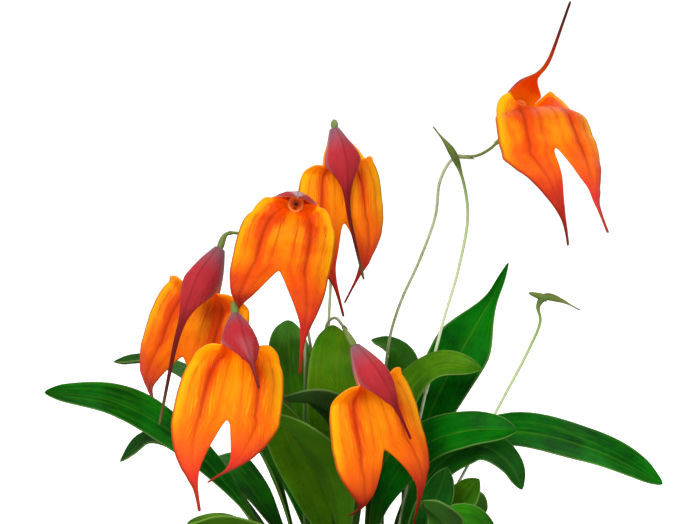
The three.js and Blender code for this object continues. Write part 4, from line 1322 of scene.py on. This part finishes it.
def tube_rings(line, distance, radii):
    """Rings of a tube. The radii are given ring by ring and point by point."""
    spots, first, second = frames(line, distance)
    angle = np.linspace(0, 2 * np.pi, radii.shape[1], endpoint=False)
    return spots[:, None] + circle(angle, first[:, None], second[:, None]) * radii[..., None]


# %% The bract on a stalk
BRACT_HEIGHT = 4
BRACT_POINT = 5.5
BRACT_HALF = 0.12  # half its thickness


def bract_shape(line, middle):
    """A small pointed sheath that wraps the stalk and stands off it at its tip."""
    rows, around = 12, 20
    angle = np.linspace(0, 2 * np.pi, around, endpoint=False)
    share = np.linspace(0, 1, rows)[:, None]
    reach = BRACT_HEIGHT + BRACT_POINT * (0.5 + 0.5 * np.cos(angle)) ** 1.6
    distance = middle - BRACT_HEIGHT + share * reach
    radius = SCAPE_RADIUS + 0.12 + 0.3 * np.sin(np.clip(share * 1.15, 0, 1) * np.pi / 2) ** 1.5
    radius = radius + 0.35 * share**3 * np.cos(angle) - 0.2 * share**2
    spots, first, second = frames(line, distance.ravel())
    reached = (radius * np.ones_like(distance)).reshape(-1, 1)
    points = spots + circle(np.tile(angle, rows), first, second) * reached
    return thicken(points, tube_quads(rows, around)[1], BRACT_HALF)[:2]


# %% The line of a stalk
COARSE_STEP = 2.5
FINE_STEP = 0.45


def scape_line(scape, bloom=None):
    """The whole line of a stalk, up into the throat of its bloom if it has one."""
    points = [*stalk_start(scape["root"], scape["path"]), *scape["path"]]
    if bloom:
        forward, base = bloom_axes(bloom)[0], np.array(bloom["base"], float)
        if "ovary" in bloom:
            points += [base + bloom["ovary"], base]
        else:
            points += [base - forward * OVARY_LENGTH, base + forward * INTO_THROAT]
    return Line(points)


def scape_distances(length, fine):
    """Distances from the foot, close together over the last stretch."""
    coarse = np.linspace(0, length - fine, int((length - fine) / COARSE_STEP))
    return np.concatenate([coarse, np.linspace(length - fine, length, int(fine / FINE_STEP))[1:]])


# %% Make the flower stalks
AROUND = 18
RIBS = 6
RIB_DEPTH = 0.1
KNUCKLE = (10.5, 0.7, 0.3)  # below the ovary: how far from the top, how broad and how thick
angle = np.linspace(0, 2 * np.pi, AROUND, endpoint=False)
stalks = []
for number, (scape, bloom) in enumerate(zip(SCAPES, BLOOMS), start=1):
    line = scape_line(scape, bloom)
    distance = scape_distances(line.length, 14)
    top = (line.length - distance)[:, None]
    radii = np.where(top < OVARY_PROFILE[-1][0], smooth_value(OVARY_PROFILE, top), SCAPE_RADIUS)
    radii = radii * (1 + RIB_DEPTH * between(top, (0.5, 2), (6, 9.5)) * np.cos(angle * RIBS))
    place, breadth, thickness = KNUCKLE
    radii = radii + bump(top - place, breadth) * thickness
    numbers = {"along": np.repeat(top[:, 0], AROUND) / 100, "around": np.tile(angle, len(distance))}
    tube = (*loft(tube_rings(line, distance, radii)), numbers)
    bract = (*bract_shape(line, line.length - scape["bract"]), {"along": scape["bract"] / 100, "dry": 1})
    name, node = f"flower_stalk_{number}", f"scape_{number}"
    stalks.append(make_piece(name, node, "scape_green", stalk_material, *joined(tube, bract)))
tell("flower stalks", stalks)

# %% Make the bud stalks
SEAM_DEPTH = 0.12
SPUR_WIDTH = 1.6
bud_stalks = []
for number, scape in enumerate(BUD_SCAPES, start=1):
    line = scape_line(scape)
    distance = scape_distances(line.length, 30)
    top = (line.length - distance)[:, None]
    radii = np.where(top < BUD_PROFILE[-1][0], smooth_value(BUD_PROFILE, top), SCAPE_RADIUS)
    seam = np.abs(np.cos(1.5 * (angle + top * 0.02))) ** 10 * between(top, (2, 8), (18, 23))
    radii = radii * (1 - SEAM_DEPTH * seam) * np.sqrt(np.clip(top / 0.5, 0.1, 1))
    numbers = {"along": np.repeat(top[:, 0], AROUND) / 100, "seam": seam.ravel()}
    shapes = [(*loft(tube_rings(line, distance, radii)), numbers)]
    shapes.append((*bract_shape(line, line.length - BUD_BRACT), {"along": BUD_BRACT / 100}))
    if "spur" in scape:
        spur = Line(scape["spur"])
        share = np.linspace(0, 1, 14)
        width = SPUR_WIDTH * np.sqrt(1 - share**1.5) + 0.12
        rings = tube_rings(spur, share * spur.length, np.repeat(width[:, None], AROUND, 1))
        shapes.append((*loft(rings), {"along": 0.15}))
    name, node = f"bud_on_its_stalk_{number}", f"bud_scape_{number}"
    bud_stalks.append(make_piece(name, node, "bud_green", bud_material, *joined(*shapes)))
tell("bud stalks", bud_stalks)

# %% [markdown]
# ## The clay pot
#
# An orchid pot is thrown or pressed from red earthenware: a tapering wall, a thicker collar under the
# rim and drain holes in the floor. It is left unglazed, so the clay is matt, a little uneven, and pale
# where salts from the water dry on it. We turn a profile with rounded corners round the axis and cut the
# drain holes with a Boolean, which is then applied.

# %% Clay finish
clay = Finish("red_earthenware", specular_ior_level=0.25)
clay_place = clay.place()
clay_clouds = clay.noise(clay_place, 26, 5, 0.6)
clay_grit = clay.noise(clay_place, 900, 3, 0.6)
clay_height = clay.height()
clay_salt = clay.noise(clay_place, 55, 6, 0.7).to(0.52, 0.72)
clay_low = 1 - clay_height.to(0.0, 0.07)
clay_rim = clay_height.to(0.096, 0.105)
clay_bands = clay.noise(clay.vector(0.5, 0.5, clay_height * 9), 60, 3, 0.6)
clay_colour = clay.layers(
    clay.mix(clay_clouds.to(0.3, 0.7), "#a2532f", "#bd6a42"),
    (clay_grit.to(0.62, 0.7) * 0.6, "#7c3d24"),
    (clay_salt * (0.12 + clay_low * 0.4 + clay_rim * 0.35), "#dcc9b6"),
    (clay_bands * 0.25, "#98492a"),
)
clay_material = clay.done(
    base_color=clay_colour,
    roughness=0.78 + clay_clouds * 0.15,
    normal=clay.relief(clay_grit * 0.5 + clay_bands * 0.6 + clay_clouds * 0.5, 0.0006),
)

# %% Pot shape
POT = {
    "height": 105, "foot_radius": 43, "rim_radius": 60, "wall": 5, "floor": 8, "band": 22, "band_step": 3,
    "drains": 4, "drain_radius": 5, "drain_circle": 24,
}
POT_SIDES = 112
POT_CORNERS = 1.6  # the radius that its corners are worn to
POT_MIDDLE = 1.5  # a ring round the middle of the floor, which the loft closes


def inner_radius(z):
    """The pot's inner radius at a height, below its collar."""
    return mixed(POT["foot_radius"], POT["rim_radius"] - POT["band_step"], z / POT["height"]) - POT["wall"]


def outer_radius(z):
    """Its outer radius there."""
    return inner_radius(z) + POT["wall"]


def rounded(profile, radius):
    """A profile whose corners are small arcs, with points every 2 mm or so between them."""
    profile = np.array(profile, float)
    made = [profile[0]]
    for before, corner, after in zip(profile, profile[1:], profile[2:]):
        back, on = before - corner, after - corner
        cut = min(radius, 0.45 * np.linalg.norm(back), 0.45 * np.linalg.norm(on))
        start, end = corner + unit(back) * cut, corner + unit(on) * cut
        stretch = np.linalg.norm(start - made[-1])
        made += [mixed(made[-1], start, s) for s in np.linspace(0, 1, int(stretch / 2) + 2)[1:]]
        for t in np.linspace(0, 1, 6)[1:]:
            made.append((1 - t) ** 2 * start + 2 * t * (1 - t) * corner + t**2 * end)
    made.append(profile[-1])
    return np.array(made)


def turned(profile, sides):
    """Rings round the axis, one for each (radius, height) of the profile."""
    angle = np.linspace(0, 2 * np.pi, sides, endpoint=False)
    radius, z = profile.T
    x, y = radius[:, None] * np.cos(angle), radius[:, None] * np.sin(angle)
    return np.stack([x, y, z[:, None] * np.ones_like(x)], -1)


# %% Turn the pot
band_foot = POT["height"] - POT["band"]
pot_profile = rounded(
    [
        (POT_MIDDLE, 0),
        (POT["foot_radius"], 0),
        (outer_radius(band_foot), band_foot),
        (outer_radius(band_foot) + POT["band_step"], band_foot + 1),
        (POT["rim_radius"], POT["height"]),
        (inner_radius(POT["height"]), POT["height"]),
        (inner_radius(POT["floor"]), POT["floor"]),
        (POT_MIDDLE, POT["floor"]),
    ],
    POT_CORNERS,
)
pot_rings = turned(pot_profile, POT_SIDES)
pot_radius, pot_level = pot_profile.T
throwing = 0.12 * np.sin(pot_level * 1.9) + 0.07 * np.sin(pot_level * 0.83)
throwing = throwing * (pot_radius > POT["foot_radius"] - 2) * (pot_level > 2)
pot_rings[..., :2] *= (1 + throwing / pot_radius)[:, None, None]
points, faces = loft(pot_rings)
pot = make_piece("earthenware_pot", "pot", "clay", clay_material, points, faces)

# %% Cut the drain holes
SHARP = 50  # degrees between faces from which an edge is sharp
cutter_shape = bmesh.new()
for k in range(POT["drains"]):
    turn = 2 * math.pi * (k + 0.5) / POT["drains"]
    made = bmesh.ops.create_cone(
        cutter_shape,
        cap_ends=True,
        segments=40,
        radius1=POT["drain_radius"] * MM,
        radius2=POT["drain_radius"] * MM,
        depth=3 * POT["floor"] * MM,
    )
    middle = Vector((math.cos(turn), math.sin(turn), 0)) * POT["drain_circle"] * MM
    bmesh.ops.translate(cutter_shape, verts=made["verts"], vec=middle + Vector((0, 0, POT["floor"] / 2 * MM)))
cutter_mesh = bpy.data.meshes.new("drain_cutters")
cutter_shape.to_mesh(cutter_mesh)
cutter_shape.free()
cutter = put("drain_cutters", cutter_mesh)
drill = pot.modifiers.new("drains", "BOOLEAN")
drill.operation = "DIFFERENCE"
drill.solver = "EXACT"
drill.object = cutter
bpy.context.view_layer.update()
drilled = bpy.data.meshes.new_from_object(pot.evaluated_get(bpy.context.evaluated_depsgraph_get()))
pot.modifiers.clear()
pot.data = drilled
bpy.data.objects.remove(cutter)
pot.data.set_sharp_from_angle(angle=math.radians(SHARP))
print("pot:", triangles(pot), "triangles")

# %% [markdown]
# ## The bark
#
# Masdevallias grow in chopped fir bark, which holds water and air. The chips are flat splinters with
# broken corners, each turned its own way. A handful of base shapes, cut from a rounded box by a few
# random planes, is enough: turned, tilted and sized differently they never look the same twice. They
# all go into one mesh, and each point keeps its place in its own chip, so that the grain follows it.

# %% Bark finish
bark = Finish("fir_bark", specular_ior_level=0.25)
bark_grain, bark_side, bark_chip = bark.numbers("grain", "side", "chip")
bark_layers = bark.noise(bark.vector(bark_grain * 2, bark_side * 14, bark_chip * 40), 2.4, 5, 0.65)
bark_clouds = bark.noise(bark.place(), 240, 4, 0.6)
bark_colour = bark.layers(
    bark.ramp(bark_layers, (0.25, "#21130c"), (0.45, "#4a2c1a"), (0.58, "#6f4529"), (0.75, "#9a6b42")),
    (bark_chip * 0.5, "#3a2418"),
    (bark_clouds.to(0.6, 0.75) * 0.5, "#8a7a5c"),
)
bark_material = bark.done(
    base_color=bark_colour,
    roughness=0.82 + bark_clouds * 0.15,
    normal=bark.relief(bark_layers * 0.8 + bark_clouds * 0.6, 0.0012),
)

# %% Chip shapes
GAP = 0.3  # between the bark and the pot
CHIP = (17, 11, 6.5)
CHIP_SHAPES = 7
CUTS = 9  # flat faces broken off a chip
CHIP_TILT = 0.22
CHIP_SHARP = 42  # degrees
GOLDEN_ANGLE = 2.399963
CHIP_LAYERS = [(83.5, 70, 46), (88.0, 80, 44.5), (91.5, 64, 42)]  # height, how many, within which radius
ROOM_FOR_STALK = 4.2


def chip_shapes(luck):
    """Several broken chips about one unit long, which all have the same faces."""
    ball = bmesh.new()
    bmesh.ops.create_icosphere(ball, subdivisions=3, radius=1)
    sphere = np.array([v.co[:] for v in ball.verts])
    faces = [[v.index for v in f.verts] for f in ball.faces]
    ball.free()
    box = np.sign(sphere) * np.abs(sphere) ** 0.5
    box = box / np.abs(box).max()
    shapes = []
    for _ in range(CHIP_SHAPES):
        shape = box * 0.5
        for _ in range(CUTS):
            plane = unit(luck.normal(0, 1, 3) * (1, 1, 0.6))
            beyond = np.maximum(shape @ plane - luck.uniform(0.3, 0.46), 0)
            shape = shape - plane * beyond[:, None]
        waves = np.sin(shape @ luck.normal(0, 9, (3, 3)) + luck.uniform(0, 6, 3))
        shape = shape + waves * (0.018, 0.02, 0.035)
        shapes.append(shape)
    return shapes, faces


# %% The bark under the chips
BED_LEVEL = 84


def bark_bed():
    """A plain filling up to the lowest chips."""
    under = POT["floor"] + GAP
    profile = [(1, under), (inner_radius(under) - GAP, under), (inner_radius(BED_LEVEL) - GAP, BED_LEVEL)]
    return loft(turned(rounded([*profile, (1, BED_LEVEL)], 1.5), 64))


# %% Fill the pot with chips
luck = np.random.default_rng(5)
shapes, chip_faces = chip_shapes(luck)
roots = np.array([grown["root"] for grown in [*LEAVES, *SCAPES, *BUD_SCAPES]], float)
points, faces = bark_bed()
chips = [(points, faces, {"grain": points[:, 0] * 0.1, "side": points[:, 1] * 0.1, "chip": 0.9})]
for level, amount, reach in CHIP_LAYERS:
    for k in range(amount):
        radius = reach * math.sqrt((k + 0.5) / amount)
        spin = k * GOLDEN_ANGLE + level
        middle = np.array([radius * math.cos(spin), radius * math.sin(spin), level])
        middle += luck.uniform(-1.5, 1.5, 3)
        size = np.array(CHIP) * luck.uniform(0.6, 1.05)
        tilt = Euler((luck.normal(0, CHIP_TILT), luck.normal(0, CHIP_TILT), luck.uniform(0, 6.28)))
        shape = shapes[luck.integers(CHIP_SHAPES)]
        tone = luck.uniform(0, 1)
        if np.linalg.norm(roots - middle[:2], axis=1).min() < ROOM_FOR_STALK and level > 85:
            continue
        placed = (shape * size) @ np.array(tilt.to_matrix()).T + middle
        most = inner_radius(level) - GAP - 0.2
        far = np.linalg.norm(placed[:, :2], axis=1)
        placed[:, :2] *= np.minimum(1, most / np.maximum(far, 1))[:, None]
        numbers = {"grain": shape[:, 0], "side": shape[:, 1] + shape[:, 2], "chip": tone}
        chips.append((placed, chip_faces, numbers))
bed = make_piece("chopped_bark", "bark", "bark", bark_material, *joined(*chips))
bed.data.set_sharp_from_angle(angle=math.radians(CHIP_SHARP))
print("bark:", len(chips) - 1, "chips,", triangles(bed), "triangles")

# %% [markdown]
# ## The studio
#
# The plant stands on a wide white sheet under large soft lamps: the main one high on the left in front,
# a weaker one on the right and one behind, to draw the edges of the leaves. The sheet gives off a little
# light of its own so that it stays clean white behind the blooms.

# %% Floor and sky
WHITE = "#ffffff"
FLOOR_REACH = 400  # metres each way, so that its edge is never in view
paper = Finish("white_paper", specular_ior_level=0.1, emission_color=paint(WHITE), emission_strength=0.62)
paper_fibres = paper.noise(paper.place(), 14, 4, 0.6)
paper_material = paper.done(base_color=paper.mix(paper_fibres, "#f4f4f4", WHITE), roughness=0.9)

floor_mesh = bpy.data.meshes.new("studio_floor")
corners = [(x * FLOOR_REACH, y * FLOOR_REACH, 0) for x, y in ((-1, -1), (1, -1), (1, 1), (-1, 1))]
floor_mesh.from_pydata(corners, [], [(0, 1, 2, 3)])
floor_mesh.materials.append(paper_material)
floor = put("studio_floor", floor_mesh)
floor.visible_diffuse = False
floor.visible_glossy = False

world = bpy.data.worlds.new("studio")
world.use_nodes = True
world.node_tree.nodes["Background"].inputs["Color"].default_value = paint(WHITE)
world.node_tree.nodes["Background"].inputs["Strength"].default_value = 0.55
bpy.context.scene.world = world


# %% Lamps
def aim(thing, spot, goal):
    """Puts a lamp or a camera at a spot, looking at a goal."""
    thing.location = spot
    thing.rotation_euler = (goal - spot).to_track_quat("-Z", "Y").to_euler()


plant_middle = Vector((0, 0, 0.24))
LAMPS = {  # place and size in metres, power in watts
    "main_lamp": ((-0.9, -1.4, 1.35), 1.0, 32),
    "fill_lamp": ((1.3, -1.2, 0.7), 1.2, 9),
    "back_lamp": ((0.5, 1.3, 1.4), 1.0, 10),
}
for name, (spot, size, power) in LAMPS.items():
    lamp = bpy.data.lights.new(name, "AREA")
    lamp.size = size
    lamp.energy = power
    aim(put(name, lamp), Vector(spot), plant_middle)

# %% Camera
ELEVATION = math.radians(8)
DISTANCE = 0.875
look_at = Vector((0, 0, 0.252))
camera = put("camera", bpy.data.cameras.new("camera"))
camera.data.lens = 100
camera.data.sensor_width = 36
camera.data.clip_start = 0.01
aim(camera, look_at + Vector((0, -math.cos(ELEVATION), math.sin(ELEVATION))) * DISTANCE, look_at)
bpy.context.scene.camera = camera
bpy.context.scene.view_settings.view_transform = "Standard"

# %% How many triangles, and the end
print("pieces:", triangles(*leaves, *blades, *hoods, *columns, *stalks, *bud_stalks, pot, bed), "triangles")
